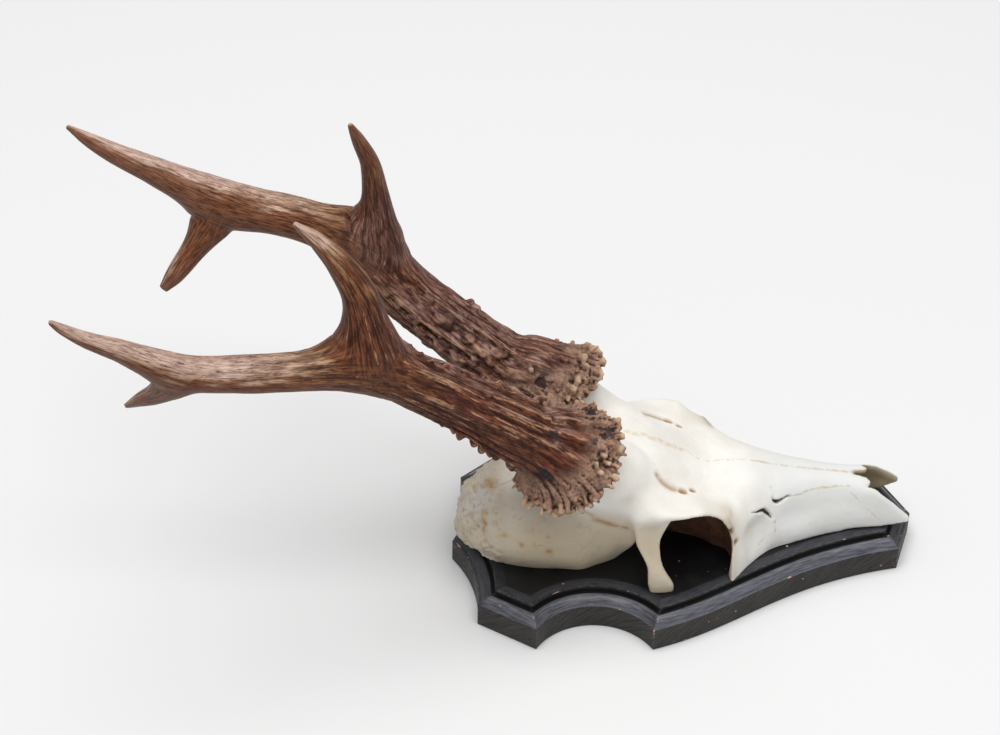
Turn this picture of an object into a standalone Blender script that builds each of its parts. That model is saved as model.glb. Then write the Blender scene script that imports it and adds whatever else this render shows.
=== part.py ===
"""Roebuck antlers on their sawn skull, fixed on a moulded wooden shield that lies on its back.

Frame: the origin is on the shield's back face, midway between its two points. +X runs to the
muzzle, +Y to the buck's left and +Z up from the shield. Tables hold millimetres, which MM
turns into metres as each mesh is made.
"""

import math
import random

import bmesh
import bpy
import numpy as np
from mathutils import Matrix, Vector

MM = 0.001
GAP = 0.3

# Shield: a plank whose outline is cut out, with a moulding worked round its face.
SHIELD_LENGTH = 200.0
SIDE_HEIGHT = 11.5
FIELD_HEIGHT = 16.5
TOP_CORNER = (-92.8, 39.2)
SCOOP_START = (-69.7, 56.0)
SCOOP_END = (-21.0, 60.4)
MUZZLE_CORNER = (90.8, 21.6)
TOP_HOLLOW = 3.6
SCOOP_DEPTH = 14.0
MOULDING = (
    (0.0, 0.0),
    (0.0, SIDE_HEIGHT),
    (0.9, 11.6),
    (2.0, 12.1),
    (3.0, 12.9),
    (4.0, 13.7),
    (5.2, 14.2),
    (6.6, 14.4),
    (6.9, FIELD_HEIGHT),
)

# Skull: half sections from the middle of the roof (0, z) down to the sawn edge, per station x.
SKULL_SECTIONS = (
    (-98.3, ((0, 31), (1.2, 30.7), (2, 29.5), (2.4, 28), (2.4, 26), (2, 23.5), (1.2, 21), (0.8, 19))),
    (-95.5, ((0, 38), (4, 37.2), (7.5, 35), (9.6, 31.5), (10.5, 27.5), (10, 23.5), (8, 20), (5.2, 12.0))),
    (-90, ((0, 43), (6, 42.2), (11.5, 39.5), (15.3, 35), (17.2, 29.5), (17, 24.5), (15.3, 20.5),
           (12.0, 12.0))),
    (-82, ((0, 47.8), (8, 46.8), (15, 43.5), (20.3, 38), (23.3, 31), (23.5, 25.5), (22, 21), (18.2, 12.0))),
    (-69, ((0, 54.5), (9.5, 53.4), (18, 49.5), (24.3, 43), (27.8, 34.5), (28, 27.5), (26.5, 22),
           (22.0, 12.0))),
    (-56, ((0, 60), (10, 59), (19, 55), (25.6, 48), (28.8, 38), (29, 29.5), (28, 22.5), (24.0, 12.0))),
    (-48, ((0, 64), (10.5, 63.2), (20, 59), (26, 51.5), (28.5, 41), (28.6, 31), (27.6, 23.5),
           (24.2, 12.0))),
    (-40, ((0, 67.5), (11, 67), (21, 63.5), (26, 55), (26.5, 44), (26, 33), (24.5, 24), (21.8, 12.0))),
    (-33, ((0, 69.2), (11, 69), (21.5, 66), (27, 59.5), (25, 52), (21.5, 38), (18.5, 27), (15.8, 12.0))),
    (-27, ((0, 68.8), (10.5, 68.8), (21, 65), (30.5, 57.5), (28, 53.5), (18.5, 42), (14, 30), (12, 12.0))),
    (-20, ((0, 66.6), (9.5, 66.6), (19.5, 63), (35, 55), (32.5, 51.5), (17, 46), (11.5, 33), (10.5, 12.0))),
    (-10, ((0, 61.4), (9, 60.6), (20, 56), (36.2, 53.2), (34.2, 49.8), (18, 46.5), (11, 34), (10, 12.0))),
    (0, ((0, 54.8), (8, 54.3), (20, 52), (35.8, 51.6), (34, 48.6), (18, 44.5), (11, 33), (10, 12.0))),
    (7, ((0, 50.8), (8, 50.6), (20, 49.2), (34.4, 48), (33.2, 45), (19, 41), (11.5, 31), (10.5, 12.0))),
    (10, ((0, 50.2), (8, 50.2), (19.5, 49), (34, 46.6), (33.5, 43.5), (25, 37), (20, 28), (19, 12.0))),
    (13, ((0, 50), (8, 50), (19, 48.2), (32.5, 44.3), (35, 38), (37, 31), (38.8, 24), (40, 12.0))),
    (18, ((0, 49.9), (8, 49.6), (17.5, 47.2), (28, 42), (31, 36.5), (33.3, 30), (35, 23.5), (36.3, 12.0))),
    (24, ((0, 49.6), (8, 49), (15, 46.2), (22.5, 40), (25.5, 34.5), (27.8, 28.5), (29.4, 22.5),
           (30.6, 12.0))),
    (34, ((0, 47.2), (7, 46.4), (12, 43.5), (16, 38.5), (18.8, 33), (20.8, 27.5), (22, 22), (22.8, 12.0))),
    (46, ((0, 43.8), (5.5, 43.2), (9.5, 40.6), (12.2, 36.6), (14.6, 31.5), (16.8, 26.5),
           (18.2, 21.5), (18.8, 17.2))),
    (60, ((0, 40.6), (4.5, 40.2), (7.6, 38.2), (9.6, 35), (11.4, 30.5), (13.2, 26), (14.4, 21.5),
           (14.9, 17.8))),
    (72, ((0, 38), (4, 37.6), (6.8, 35.8), (8.6, 33), (10.2, 29), (11.8, 25), (12.8, 21.5), (13.2, 18.5))),
    (79, ((0, 35), (4, 34.6), (7, 33.4), (9, 31.2), (10.6, 28), (12, 24.8), (12.8, 22), (13.1, 19.2))),
    (88, ((0, 28), (5, 28), (8.5, 27.8), (10.3, 26.8), (11.6, 25), (12.6, 23), (13, 21.4), (13.2, 20))),
    (96, ((0, 22), (6, 22), (10.5, 22), (11.6, 21.9), (12.6, 21.7), (13.3, 21.4), (13.6, 21),
           (13.6, 20.6))),
)
BAR_SPINE = ((-22, 30, 55), (-20.5, 36, 46), (-20, 40, 36), (-18.5, 42, 26), (-16, 43, 19))
BAR_HALF_WIDTHS = (9.5, 6.6, 4.2, 3.7, 4.2)
BAR_FLATNESS = 0.6
NASAL_WALL = 2.2
CAVITY_SIDE = 24.0
# The hollow of each eye socket in front, as the middle and the half axes of an ellipsoid.
ORBIT = ((1.0, 29.0, 28.0), (15.5, 12.0, 20.0))
PEDICLE = ((0, 19.0), (7, 16.5), (14, 13.6), (20, 12.4), (28, 12.4))
PEDICLE_LENGTH = 22.0

# Antlers: spine points (x, y, z, radius), with y measured away from the skull's midline.
RIGHT_BEAM = (
    (-50.2, 22.4, 73.8, 12.0),
    (-75, 24.5, 96, 13.6),
    (-96.5, 27.3, 114, 11.9),
    (-115, 31.5, 130.8, 11.1),
    (-131, 35.5, 142.5, 10.8),
    (-148, 40, 148.5, 8.8),
    (-164, 44, 152, 7.8),
    (-185, 48, 155.7, 7.6),
    (-203, 50.5, 159.7, 7.0),
    (-219.5, 53, 168.3, 6.0),
    (-232, 55.5, 178, 4.4),
    (-243, 58, 185.8, 3.2),
    (-251.5, 59.5, 193, 2.1),
    (-256, 60.5, 198, 1.1),
)
RIGHT_FRONT_TINE = (
    (-133, 36, 146, 11.2),
    (-135, 36, 157, 10.6),
    (-137, 35.5, 167, 8.8),
    (-140, 34, 181, 7.0),
    (-147, 32, 194.6, 5.2),
    (-155, 30.5, 205, 3.4),
    (-164, 29, 213.5, 1.1),
)
RIGHT_REAR_TINE = (
    (-202, 51, 161, 6.2),
    (-210, 49.5, 154.5, 5.8),
    (-218, 46, 147, 4.6),
    (-224.5, 41, 140, 3.3),
    (-232, 36, 132, 1.1),
)
LEFT_BEAM = (
    (-47.5, 22.4, 69.8, 12.0),
    (-65, 24, 84, 14.2),
    (-80, 25.8, 92, 12.8),
    (-93.5, 28.5, 103.5, 12.1),
    (-106, 31.5, 114, 11.8),
    (-121, 36, 127.5, 11.1),
    (-140, 40.5, 147, 9.8),
    (-159, 44, 156.7, 8.9),
    (-176, 47, 160.6, 8.8),
    (-197, 50, 168.3, 8.0),
    (-208, 51.5, 173.5, 6.9),
    (-219, 53.5, 179, 5.8),
    (-239, 58, 188.6, 3.9),
    (-250, 60.5, 197, 1.2),
)
LEFT_FRONT_TINE = (
    (-128.5, 37.5, 140, 11.4),
    (-126.5, 36.6, 149, 9.8),
    (-127.6, 35.6, 159, 7.8),
    (-129, 34, 176, 5.5),
    (-130.8, 32, 191.8, 4.1),
    (-135.5, 30, 206, 2.8),
    (-139, 29, 215, 1.1),
)
LEFT_REAR_TINE = (
    (-190, 49, 160, 9.0),
    (-195, 48, 151.5, 7.8),
    (-203, 44, 143.8, 5.4),
    (-211, 38.5, 135.6, 4.0),
    (-216.5, 35.5, 130.2, 1.8),
)
# Where each limb is parted from the beam, as a distance along its own spine.
RIGHT_PARTINGS = {"front_tine": 22.0, "upper_beam": 128.0, "rear_tine": 15.0}
LEFT_PARTINGS = {"front_tine": 26.0, "upper_beam": 137.0, "rear_tine": 17.0}

# Burrs: the rim's middle, the way its plane faces, its radius, and the distance along the beam
# at which the flare has died out. The two lean outwards like a roof and nearly touch.
RIGHT_BURR = ((-55.3, 23.2, 79.0), (-0.48, 0.29, 0.83), 24.5, 27.0)
LEFT_BURR = ((-56.6, 24.6, 78.8), (-0.37, 0.17, 0.91), 23.0, 31.0)
# The burr's shape: (height over the rim's plane, share of its radius, share of the beam's section).
BURR_SECTIONS = (
    (-6.0, 0.50, 0.0),
    (-5.0, 0.72, 0.0),
    (-2.5, 0.92, 0.0),
    (0.0, 1.0, 0.0),
    (2.4, 0.93, 0.08),
    (6.0, 0.80, 0.3),
    (11.0, 0.74, 0.7),
    (16.0, 0.74, 1.0),
)
BURR_LUMPS = 32
MIDLINE_GAP = 0.8
RIDGES = 11
RIDGE_HEIGHT = 0.55
RIDGE_END = 0.62

VOXEL = 0.85
SKULL_TRIANGLES = 2300
ANTLER_TRIANGLES = 2350


# ---- helpers ----------------------------------------------------------------


def clear_scene():
    for obj in list(bpy.data.objects):
        bpy.data.objects.remove(obj, do_unlink=True)


def new_collection(name):
    collection = bpy.data.collections.new(name)
    bpy.context.scene.collection.children.link(collection)
    return collection


def new_material(name, colour, roughness):
    material = bpy.data.materials.new(name)
    material.use_nodes = True
    shader = material.node_tree.nodes["Principled BSDF"]
    shader.inputs["Base Color"].default_value = (*colour, 1.0)
    shader.inputs["Roughness"].default_value = roughness
    shader.inputs["Metallic"].default_value = 0.0
    return material


def new_object(name, bm, collection, material=None):
    """An object of the mesh in bm, which is in millimetres, with its faces turned out."""
    bmesh.ops.scale(bm, vec=(MM, MM, MM), verts=bm.verts)
    bmesh.ops.recalc_face_normals(bm, faces=bm.faces)
    mesh = bpy.data.meshes.new(name)
    bm.to_mesh(mesh)
    bm.free()
    if material:
        mesh.materials.append(material)
    obj = bpy.data.objects.new(name, mesh)
    collection.objects.link(obj)
    return obj


def apply_modifiers(obj):
    graph = bpy.context.evaluated_depsgraph_get()
    mesh = bpy.data.meshes.new_from_object(obj.evaluated_get(graph))
    obj.modifiers.clear()
    obj.data = mesh


def join(obj, other):
    """Add other's faces to obj."""
    bm = bmesh.new()
    bm.from_mesh(obj.data)
    bm.from_mesh(other.data)
    bm.to_mesh(obj.data)
    bm.free()
    bpy.data.objects.remove(other, do_unlink=True)


def cut(obj, cutter):
    modifier = obj.modifiers.new("cut " + cutter.name, "BOOLEAN")
    modifier.operation = "DIFFERENCE"
    modifier.object = cutter
    cutter.hide_render = True
    cutter.display_type = "WIRE"


def fuse(obj, triangles):
    """Overlapping shells made one skin, smoothed a little, then thinned to about so many triangles."""
    remesh = obj.modifiers.new("fuse", "REMESH")
    remesh.mode = "VOXEL"
    remesh.voxel_size = VOXEL * MM
    smooth = obj.modifiers.new("settle", "SMOOTH")
    smooth.factor = 0.5
    smooth.iterations = 2
    apply_modifiers(obj)
    thin = obj.modifiers.new("thin", "DECIMATE")
    thin.ratio = triangles / (2 * len(obj.data.polygons))
    apply_modifiers(obj)


def monotone(xs, ys, at):
    """Smooth interpolation through (xs, ys) that never overshoots. ys may have several columns."""
    xs = np.asarray(xs, float)
    ys = np.asarray(ys, float)
    steps = np.diff(xs).reshape((-1,) + (1,) * (ys.ndim - 1))
    slopes = np.diff(ys, axis=0) / steps
    before, after = slopes[:-1], slopes[1:]
    product = before * after
    total = np.where(before + after == 0, 1.0, before + after)
    inner = np.where(product > 0, 2 * product / total, 0.0)
    tangents = np.concatenate([slopes[:1], inner, slopes[-1:]])
    at = np.clip(np.asarray(at, float), xs[0], xs[-1])
    index = np.clip(np.searchsorted(xs, at, side="right") - 1, 0, len(xs) - 2)
    width = steps[index]
    share = (at - xs[index]).reshape((-1,) + (1,) * (ys.ndim - 1)) / width
    rest = 1 - share
    return (
        ys[index] * rest**2 * (1 + 2 * share)
        + ys[index + 1] * share**2 * (1 + 2 * rest)
        + tangents[index] * width * share * rest**2
        - tangents[index + 1] * width * share**2 * rest
    )


def rounded(points, count):
    """A Catmull-Rom curve through points, as count points at even steps of its parameter."""
    points = np.asarray(points, float)
    first = 2 * points[0] - points[1]
    last = 2 * points[-1] - points[-2]
    padded = np.vstack([first, points, last])
    position = np.linspace(0, len(points) - 1, count)
    start = np.minimum(position.astype(int), len(points) - 2)
    share = (position - start)[:, None]
    a, b, c, d = (padded[start + shift] for shift in range(4))
    return 0.5 * (
        2 * b
        + (c - a) * share
        + (2 * a - 5 * b + 4 * c - d) * share**2
        + (3 * b - a - 3 * c + d) * share**3
    )


def add_loft(bm, rings):
    """A closed shell through rings of points, with a flat cap on each end."""
    rows = [[bm.verts.new(point) for point in ring] for ring in rings]
    count = len(rows[0])
    for row, following in zip(rows, rows[1:]):
        for i in range(count):
            j = (i + 1) % count
            bm.faces.new((row[i], row[j], following[j], following[i]))
    bm.faces.new(rows[0][::-1])
    bm.faces.new(rows[-1])


# ---- shield -----------------------------------------------------------------


def arc(start, end, hollow, count):
    """Points after start up to end along an arc that bows towards the midline by hollow."""
    start, end = np.array(start), np.array(end)
    chord = end - start
    half = np.linalg.norm(chord) / 2
    inwards = np.array((chord[1], -chord[0])) / (2 * half)
    radius = (half**2 + hollow**2) / (2 * hollow)
    reach = math.asin(half / radius)
    points = []
    for i in range(1, count + 1):
        angle = reach * (2 * i / count - 1)
        along = radius * math.sin(angle) / half / 2 + 0.5
        depth = radius * math.cos(angle) - (radius - hollow)
        points.append(start + chord * along + inwards * depth)
    return points


def bezier(start, first, second, end, count):
    start, first, second, end = map(np.array, (start, first, second, end))
    shares = [i / count for i in range(1, count + 1)]
    return [
        start * (1 - t) ** 3 + 3 * first * t * (1 - t) ** 2 + 3 * second * t**2 * (1 - t) + end * t**3
        for t in shares
    ]


def shield_outline():
    """The outline seen from above, counter-clockwise, starting at the point behind the skull."""
    top_point = (-SHIELD_LENGTH / 2, 0.0)
    muzzle_point = (SHIELD_LENGTH / 2, 0.0)
    half = [np.array(top_point)]
    half += arc(top_point, TOP_CORNER, TOP_HOLLOW, 6)
    half.append(np.array(SCOOP_START))
    half += arc(SCOOP_START, SCOOP_END, SCOOP_DEPTH, 12)
    bow = np.array(SCOOP_END) + (35.0, -9.0)
    hollow = np.array(MUZZLE_CORNER) - (45.0, -9.0)
    half += bezier(SCOOP_END, bow, hollow, MUZZLE_CORNER, 10)
    half.append(np.array(muzzle_point))
    mirrored = [point * (1, -1) for point in half[-2:0:-1]]
    return (half + mirrored)[::-1]


def inset(outline, distance):
    """The outline moved inwards by distance, with mitred corners."""
    moved = []
    for i, point in enumerate(outline):
        before = point - outline[i - 1]
        after = outline[(i + 1) % len(outline)] - point
        left = [np.array((-edge[1], edge[0])) / np.linalg.norm(edge) for edge in (before, after)]
        mitre = left[0] + left[1]
        moved.append(point + mitre * distance * 2 / mitre.dot(mitre))
    return moved


def build_shield(collection):
    outline = shield_outline()
    bm = bmesh.new()
    add_loft(bm, [[(*point, height) for point in inset(outline, width)] for width, height in MOULDING])
    wood = new_material("black_painted_wood", (0.012, 0.012, 0.014), 0.38)
    return new_object("shield", bm, collection, wood)


# ---- skull ------------------------------------------------------------------


def skull_ring(x, narrower=0.0, lower=0.0):
    """The skull's whole section at x, from the right sawn edge over the roof to the left one."""
    stations = [station for station, _ in SKULL_SECTIONS]
    table = [section for _, section in SKULL_SECTIONS]
    half = rounded(monotone(stations, table, [x])[0], 22)
    half = np.maximum(half - (narrower, lower), (0.0, 0.0))
    half[0, 0] = 0.0
    left = [(x, y, z) for y, z in half]
    right = [(x, -y, z) for _, y, z in left[:0:-1]]
    return right + left


def build_cranium(bm):
    first, last = SKULL_SECTIONS[0][0], SKULL_SECTIONS[-1][0]
    add_loft(bm, [skull_ring(x) for x in np.linspace(first, last, 130)])


def build_bars(bm):
    """The bars behind the eye sockets, each a flattened rod from the forehead to its free end."""
    for side in (1, -1):
        spine = rounded(BAR_SPINE, 16)
        widths = np.interp(np.linspace(0, 1, 16), np.linspace(0, 1, 5), BAR_HALF_WIDTHS)
        rings = []
        for (x, y, z), width in zip(spine, widths):
            turns = [2 * math.pi * k / 12 for k in range(12)]
            rings.append(
                [
                    (x + width * math.cos(t), side * (y + BAR_FLATNESS * width * math.sin(t)), z)
                    for t in turns
                ]
            )
        add_loft(bm, rings)


def build_pedicles(bm):
    for burr, side in ((RIGHT_BURR, -1), (LEFT_BURR, 1)):
        seat, axis = burr_seat(burr, side)
        turn = axis.to_track_quat("Z", "Y").to_matrix()
        rings = []
        for distance, radius in PEDICLE:
            centre = seat + axis * (distance - PEDICLE_LENGTH)
            rings.append(
                [
                    centre + turn @ Vector((radius * math.cos(t), radius * math.sin(t), 0))
                    for t in (2 * math.pi * k / 20 for k in range(20))
                ]
            )
        add_loft(bm, rings)


def cavity_half(x):
    """The air passage's half section at x, from the middle of its roof straight down its side."""
    whole = skull_ring(x, narrower=NASAL_WALL, lower=NASAL_WALL)
    half = np.array(whole[len(whole) // 2 :])
    heights = np.linspace(half[0, 2], CAVITY_SIDE, 8)
    widths = np.interp(heights, half[::-1, 2], half[::-1, 1])
    widths[0] = 0.0
    return [*zip(widths, heights), (widths[-1], CAVITY_SIDE - 20)]


def nasal_cavity(cutters):
    """The air passage, open at the muzzle, where only the thin edges of the upper jaw go on."""
    sections = [(x, cavity_half(x)) for x in np.linspace(30, 79, 12)]
    mouth = [(y, z + (25 if z > CAVITY_SIDE else 0)) for y, z in sections[-1][1]]
    sections += [(x, mouth) for x in (82, 104)]
    bm = bmesh.new()
    add_loft(
        bm,
        [[(x, -y, z) for y, z in half[:0:-1]] + [(x, y, z) for y, z in half] for x, half in sections],
    )
    return new_object("nasal_cavity_cutter", bm, cutters)


def slab_cutter(name, centre, axis, width, thickness, cutters):
    """A thin square plate across axis at centre."""
    bm = bmesh.new()
    bmesh.ops.create_cube(bm, size=1.0)
    bmesh.ops.scale(bm, vec=(width, width, thickness), verts=bm.verts)
    turn = axis.to_track_quat("Z", "Y").to_matrix().to_4x4()
    bmesh.ops.transform(bm, matrix=Matrix.Translation(centre) @ turn, verts=bm.verts)
    return new_object(name, bm, cutters)


def orbit_cutter(name, side, cutters):
    centre, half_axes = ORBIT
    place = Matrix.Translation((centre[0], side * centre[1], centre[2])) @ Matrix.Diagonal((*half_axes, 1))
    bm = bmesh.new()
    bmesh.ops.create_icosphere(bm, subdivisions=4, radius=1.0, matrix=place)
    return new_object(name, bm, cutters)


def build_skull(collection, cutters):
    bm = bmesh.new()
    build_cranium(bm)
    bone = new_material("skull_bone", (0.80, 0.76, 0.67), 0.55)
    skull = new_object("skull", bm, collection, bone)
    cut(skull, nasal_cavity(cutters))
    cut(skull, orbit_cutter("right_orbit_cutter", -1, cutters))
    cut(skull, orbit_cutter("left_orbit_cutter", 1, cutters))
    apply_modifiers(skull)
    bm = bmesh.new()
    build_bars(bm)
    build_pedicles(bm)
    join(skull, new_object("bars_and_pedicles", bm, collection))
    fuse(skull, SKULL_TRIANGLES)
    down = Vector((0, 0, 1))
    floor = Vector((0, 0, FIELD_HEIGHT + GAP - 20))
    cut(skull, slab_cutter("field_cutter", floor, down, 300, 40, cutters))
    for name, burr, side in (("right", RIGHT_BURR, -1), ("left", LEFT_BURR, 1)):
        seat, axis = burr_seat(burr, side)
        centre = seat + axis * (20 - GAP)
        cut(skull, slab_cutter(f"{name}_seat_cutter", centre, axis, 40, 40, cutters))
    apply_modifiers(skull)
    return skull


# ---- antlers ----------------------------------------------------------------


def burr_seat(burr, side):
    """The middle of the burr's underside, and the way the antler leaves it."""
    centre, normal = (Vector((point[0], side * point[1], point[2])) for point in burr[:2])
    axis = normal.normalized()
    return centre + axis * BURR_SECTIONS[0][0], axis


class Spine:
    """A limb's middle line, with its radius, read by distance from the root in millimetres."""

    def __init__(self, points, side):
        table = np.array(points, float)
        table[:, 1] *= side
        chords = np.linalg.norm(np.diff(table[:, :3], axis=0), axis=1)
        self.knots = np.concatenate([[0.0], np.cumsum(chords)])
        self.table = table
        self.side = side
        self.length = self.knots[-1]

    def centre(self, distance):
        return Vector(monotone(self.knots, self.table[:, :3], [distance])[0])

    def radius(self, distance):
        return float(monotone(self.knots, self.table[:, 3], [distance])[0])

    def axes(self, distance):
        """Along the limb, outwards from the skull's midline, and across both."""
        ahead = min(distance + 1.0, self.length)
        along = (self.centre(ahead) - self.centre(ahead - 2.0)).normalized()
        out = Vector((0, self.side, 0))
        out = (out - along * out.dot(along)).normalized()
        front = out.cross(along) * self.side
        return along, out, front

    def surface(self, distance, angle, radius):
        """The point at radius from the middle line, angle running from outwards to the front."""
        _, out, front = self.axes(distance)
        return self.centre(distance) + (out * math.cos(angle) + front * math.sin(angle)) * radius


def beam_radius(spine, distance, angle):
    """The beam's radius with its lengthwise ridges, which die out towards the tip."""
    fade = max(0.0, 1 - distance / (RIDGE_END * spine.length))
    return spine.radius(distance) + math.cos(RIDGES * angle + 0.05 * distance) * RIDGE_HEIGHT * fade


def add_limb(bm, spine, radius_at, sides, step):
    count = max(4, round(spine.length / step))
    rings = []
    for distance in np.linspace(0, spine.length, count):
        angles = [2 * math.pi * k / sides for k in range(sides)]
        rings.append([spine.surface(distance, a, radius_at(distance, a)) for a in angles])
    add_loft(bm, rings)


def add_lump(bm, spine, distance, angle, sink, size):
    """A rounded knob on the beam: sink is how far out its middle sits, size is its three half axes."""
    along, out, front = spine.axes(distance)
    outward = out * math.cos(angle) + front * math.sin(angle)
    across = along.cross(outward)
    turn = Matrix((along, across, outward)).transposed()
    centre = spine.surface(distance, angle, sink)
    stretch = turn @ Matrix.Diagonal(size)
    matrix = Matrix.Translation(centre) @ stretch.to_4x4()
    bmesh.ops.create_icosphere(bm, subdivisions=2, radius=1.0, matrix=matrix)


def add_burr(bm, spine, burr, draws):
    """The flared foot of the beam, with two staggered rows of knobs round its rim."""
    side = spine.side
    seat, axis = burr_seat(burr, side)
    reach, meets = burr[2:]
    out = Vector((0, side, 0))
    out = (out - axis * out.dot(axis)).normalized()
    front = out.cross(axis) * side

    def rim_point(height, angle, radius):
        point = seat + axis * (height - BURR_SECTIONS[0][0])
        point += (out * math.cos(angle) + front * math.sin(angle)) * radius
        point.y = side * max(side * point.y, MIDLINE_GAP)
        return point

    angles = [2 * math.pi * k / 48 for k in range(48)]
    rings = []
    for height, share, beam_share in BURR_SECTIONS:
        ring = []
        for angle in angles:
            own = spine.surface(meets, angle, beam_radius(spine, meets, angle) - GAP)
            ring.append(rim_point(height, angle, reach * share).lerp(own, beam_share))
        rings.append(ring)
    add_loft(bm, rings)
    for row, height in enumerate((-2.4, 1.2)):
        for k in range(BURR_LUMPS):
            angle = 2 * math.pi * (k + 0.5 * row + draws.uniform(-0.2, 0.2)) / BURR_LUMPS
            centre = rim_point(height + draws.uniform(-0.7, 0.7), angle, reach * 0.97)
            outward = (centre - seat).normalized()
            centre += outward * draws.uniform(-0.9, 0.7)
            length, width, depth = draws.uniform(2.4, 3.6), draws.uniform(1.5, 2.0), 1.9
            centre.y = side * max(side * centre.y, MIDLINE_GAP + length)
            turn = outward.to_track_quat("X", "Z").to_matrix()
            stretch = turn @ Matrix.Diagonal((length, width, depth))
            matrix = Matrix.Translation(centre) @ stretch.to_4x4()
            bmesh.ops.create_icosphere(bm, subdivisions=2, radius=1.0, matrix=matrix)


def add_pearls(bm, spine, pearls, draws):
    """Named big knobs, then a scatter of small ones on the beam's inner and rear faces."""
    for distance, degrees, size in pearls:
        angle = math.radians(degrees)
        lump = (size * 1.35, size, size)
        add_lump(bm, spine, distance, angle, beam_radius(spine, distance, angle), lump)
    for _ in range(34):
        distance = draws.uniform(20, 104)
        angle = math.radians(draws.uniform(115, 300))
        size = draws.uniform(1.0, 1.6)
        lump = (size * 1.3, size, size)
        add_lump(bm, spine, distance, angle, beam_radius(spine, distance, angle), lump)


def nearest_piece(pieces, point):
    return min(pieces, key=lambda piece: min((v.co - point).length for v in piece.data.vertices))


def loose_pieces(obj):
    bpy.ops.object.select_all(action="DESELECT")
    obj.select_set(True)
    bpy.context.view_layer.objects.active = obj
    bpy.ops.object.mode_set(mode="EDIT")
    bpy.ops.mesh.separate(type="LOOSE")
    bpy.ops.object.mode_set(mode="OBJECT")
    return list(bpy.context.selected_objects)


def build_antler(name, side, limbs, burr, partings, pearls, collection, cutters):
    """One antler as four pieces: the beam with its burr, and the limbs parted from it at its forks."""
    draws = random.Random(name)
    spines = {limb: Spine(points, side) for limb, points in limbs.items()}
    trunk = spines["beam"]
    bm = bmesh.new()
    add_limb(bm, trunk, lambda d, a: beam_radius(trunk, d, a), 40, 1.6)
    for limb in ("front_tine", "rear_tine"):
        spine = spines[limb]
        add_limb(bm, spine, lambda d, a, s=spine: s.radius(d), 20, 2.5)
    add_burr(bm, trunk, burr, draws)
    add_pearls(bm, trunk, pearls, draws)
    horn = new_material(f"{name}_antler_horn", (0.16, 0.075, 0.04), 0.5)
    antler = new_object(f"{name}_antler_beam", bm, collection, horn)
    fuse(antler, ANTLER_TRIANGLES)

    seat, axis = burr_seat(burr, side)
    cut(antler, slab_cutter(f"{name}_base_cutter", seat - axis * 10, axis, 80, 20, cutters))
    for limb, distance in partings.items():
        spine = trunk if limb == "upper_beam" else spines[limb]
        along = spine.axes(distance)[0]
        width = 2 * spine.radius(distance) + 9
        centre = spine.centre(distance)
        cut(antler, slab_cutter(f"{name}_{limb}_cutter", centre, along, width, GAP, cutters))
    apply_modifiers(antler)

    pieces = loose_pieces(antler)
    ends = {
        "front_tine": spines["front_tine"].centre(spines["front_tine"].length),
        "rear_tine": spines["rear_tine"].centre(spines["rear_tine"].length),
        "upper_beam": trunk.centre(trunk.length),
        "beam": trunk.centre(0),
    }
    for limb, end in ends.items():
        piece = nearest_piece(pieces, end * MM)
        piece.name = piece.data.name = f"{name}_antler_{limb}"
        pieces.remove(piece)
    for crumb in pieces:
        bpy.data.objects.remove(crumb, do_unlink=True)


# Big knobs: (distance along the beam, degrees from outwards to the front, radius).
RIGHT_PEARLS = (
    (30, -62, 1.8),
    (38, -66, 1.6),
    (46, -62, 2.0),
    (54, -64, 1.8),
    (64, -60, 1.6),
    (26, 100, 2.8),
    (36, 112, 2.4),
    (45, 110, 2.2),
    (57, 112, 2.4),
    (70, 115, 1.8),
)
LEFT_PEARLS = (
    (26, 150, 2.4),
    (37, 160, 2.6),
    (46, 158, 2.8),
    (60, 152, 3.2),
    (74, 150, 3.6),
    (84, 138, 2.8),
    (100, 158, 3.0),
    (62, 60, 2.8),
    (67, 58, 3.2),
    (78, 238, 2.4),
    (96, 236, 2.2),
)


def main():
    clear_scene()
    parts = new_collection("mounted_roe_antlers")
    cutters = new_collection("cutters")
    build_shield(parts)
    build_skull(parts, cutters)
    right = {"beam": RIGHT_BEAM, "front_tine": RIGHT_FRONT_TINE, "rear_tine": RIGHT_REAR_TINE}
    left = {"beam": LEFT_BEAM, "front_tine": LEFT_FRONT_TINE, "rear_tine": LEFT_REAR_TINE}
    build_antler("right", -1, right, RIGHT_BURR, RIGHT_PARTINGS, RIGHT_PEARLS, parts, cutters)
    build_antler("left", 1, left, LEFT_BURR, LEFT_PARTINGS, LEFT_PEARLS, parts, cutters)


main()
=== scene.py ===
"""Looks of the mounted roe antlers: horn, bone and black paint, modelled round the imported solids.

Tables are in millimetres and share the solids' frame: +X to the muzzle, +Y to the buck's left,
+Z up from the shield, which lies on its back. MM turns them into metres as each mesh is made.
"""

import functools
import itertools
import math
import random

import bmesh
import bpy
import numpy as np
from mathutils import Matrix, Vector
from mathutils.kdtree import KDTree


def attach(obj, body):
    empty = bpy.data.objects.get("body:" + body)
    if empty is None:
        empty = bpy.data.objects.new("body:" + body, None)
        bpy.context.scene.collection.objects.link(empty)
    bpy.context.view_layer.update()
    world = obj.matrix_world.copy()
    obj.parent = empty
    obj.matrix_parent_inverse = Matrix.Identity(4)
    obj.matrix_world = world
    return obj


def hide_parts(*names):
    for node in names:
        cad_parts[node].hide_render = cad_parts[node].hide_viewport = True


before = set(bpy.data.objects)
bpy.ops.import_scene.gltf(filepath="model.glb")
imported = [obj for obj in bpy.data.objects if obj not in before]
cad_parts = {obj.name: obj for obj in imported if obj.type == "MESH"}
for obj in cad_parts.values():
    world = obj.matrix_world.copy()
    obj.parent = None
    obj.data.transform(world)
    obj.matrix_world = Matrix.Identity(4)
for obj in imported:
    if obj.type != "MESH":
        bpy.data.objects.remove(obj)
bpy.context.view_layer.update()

MM = 0.001
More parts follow.
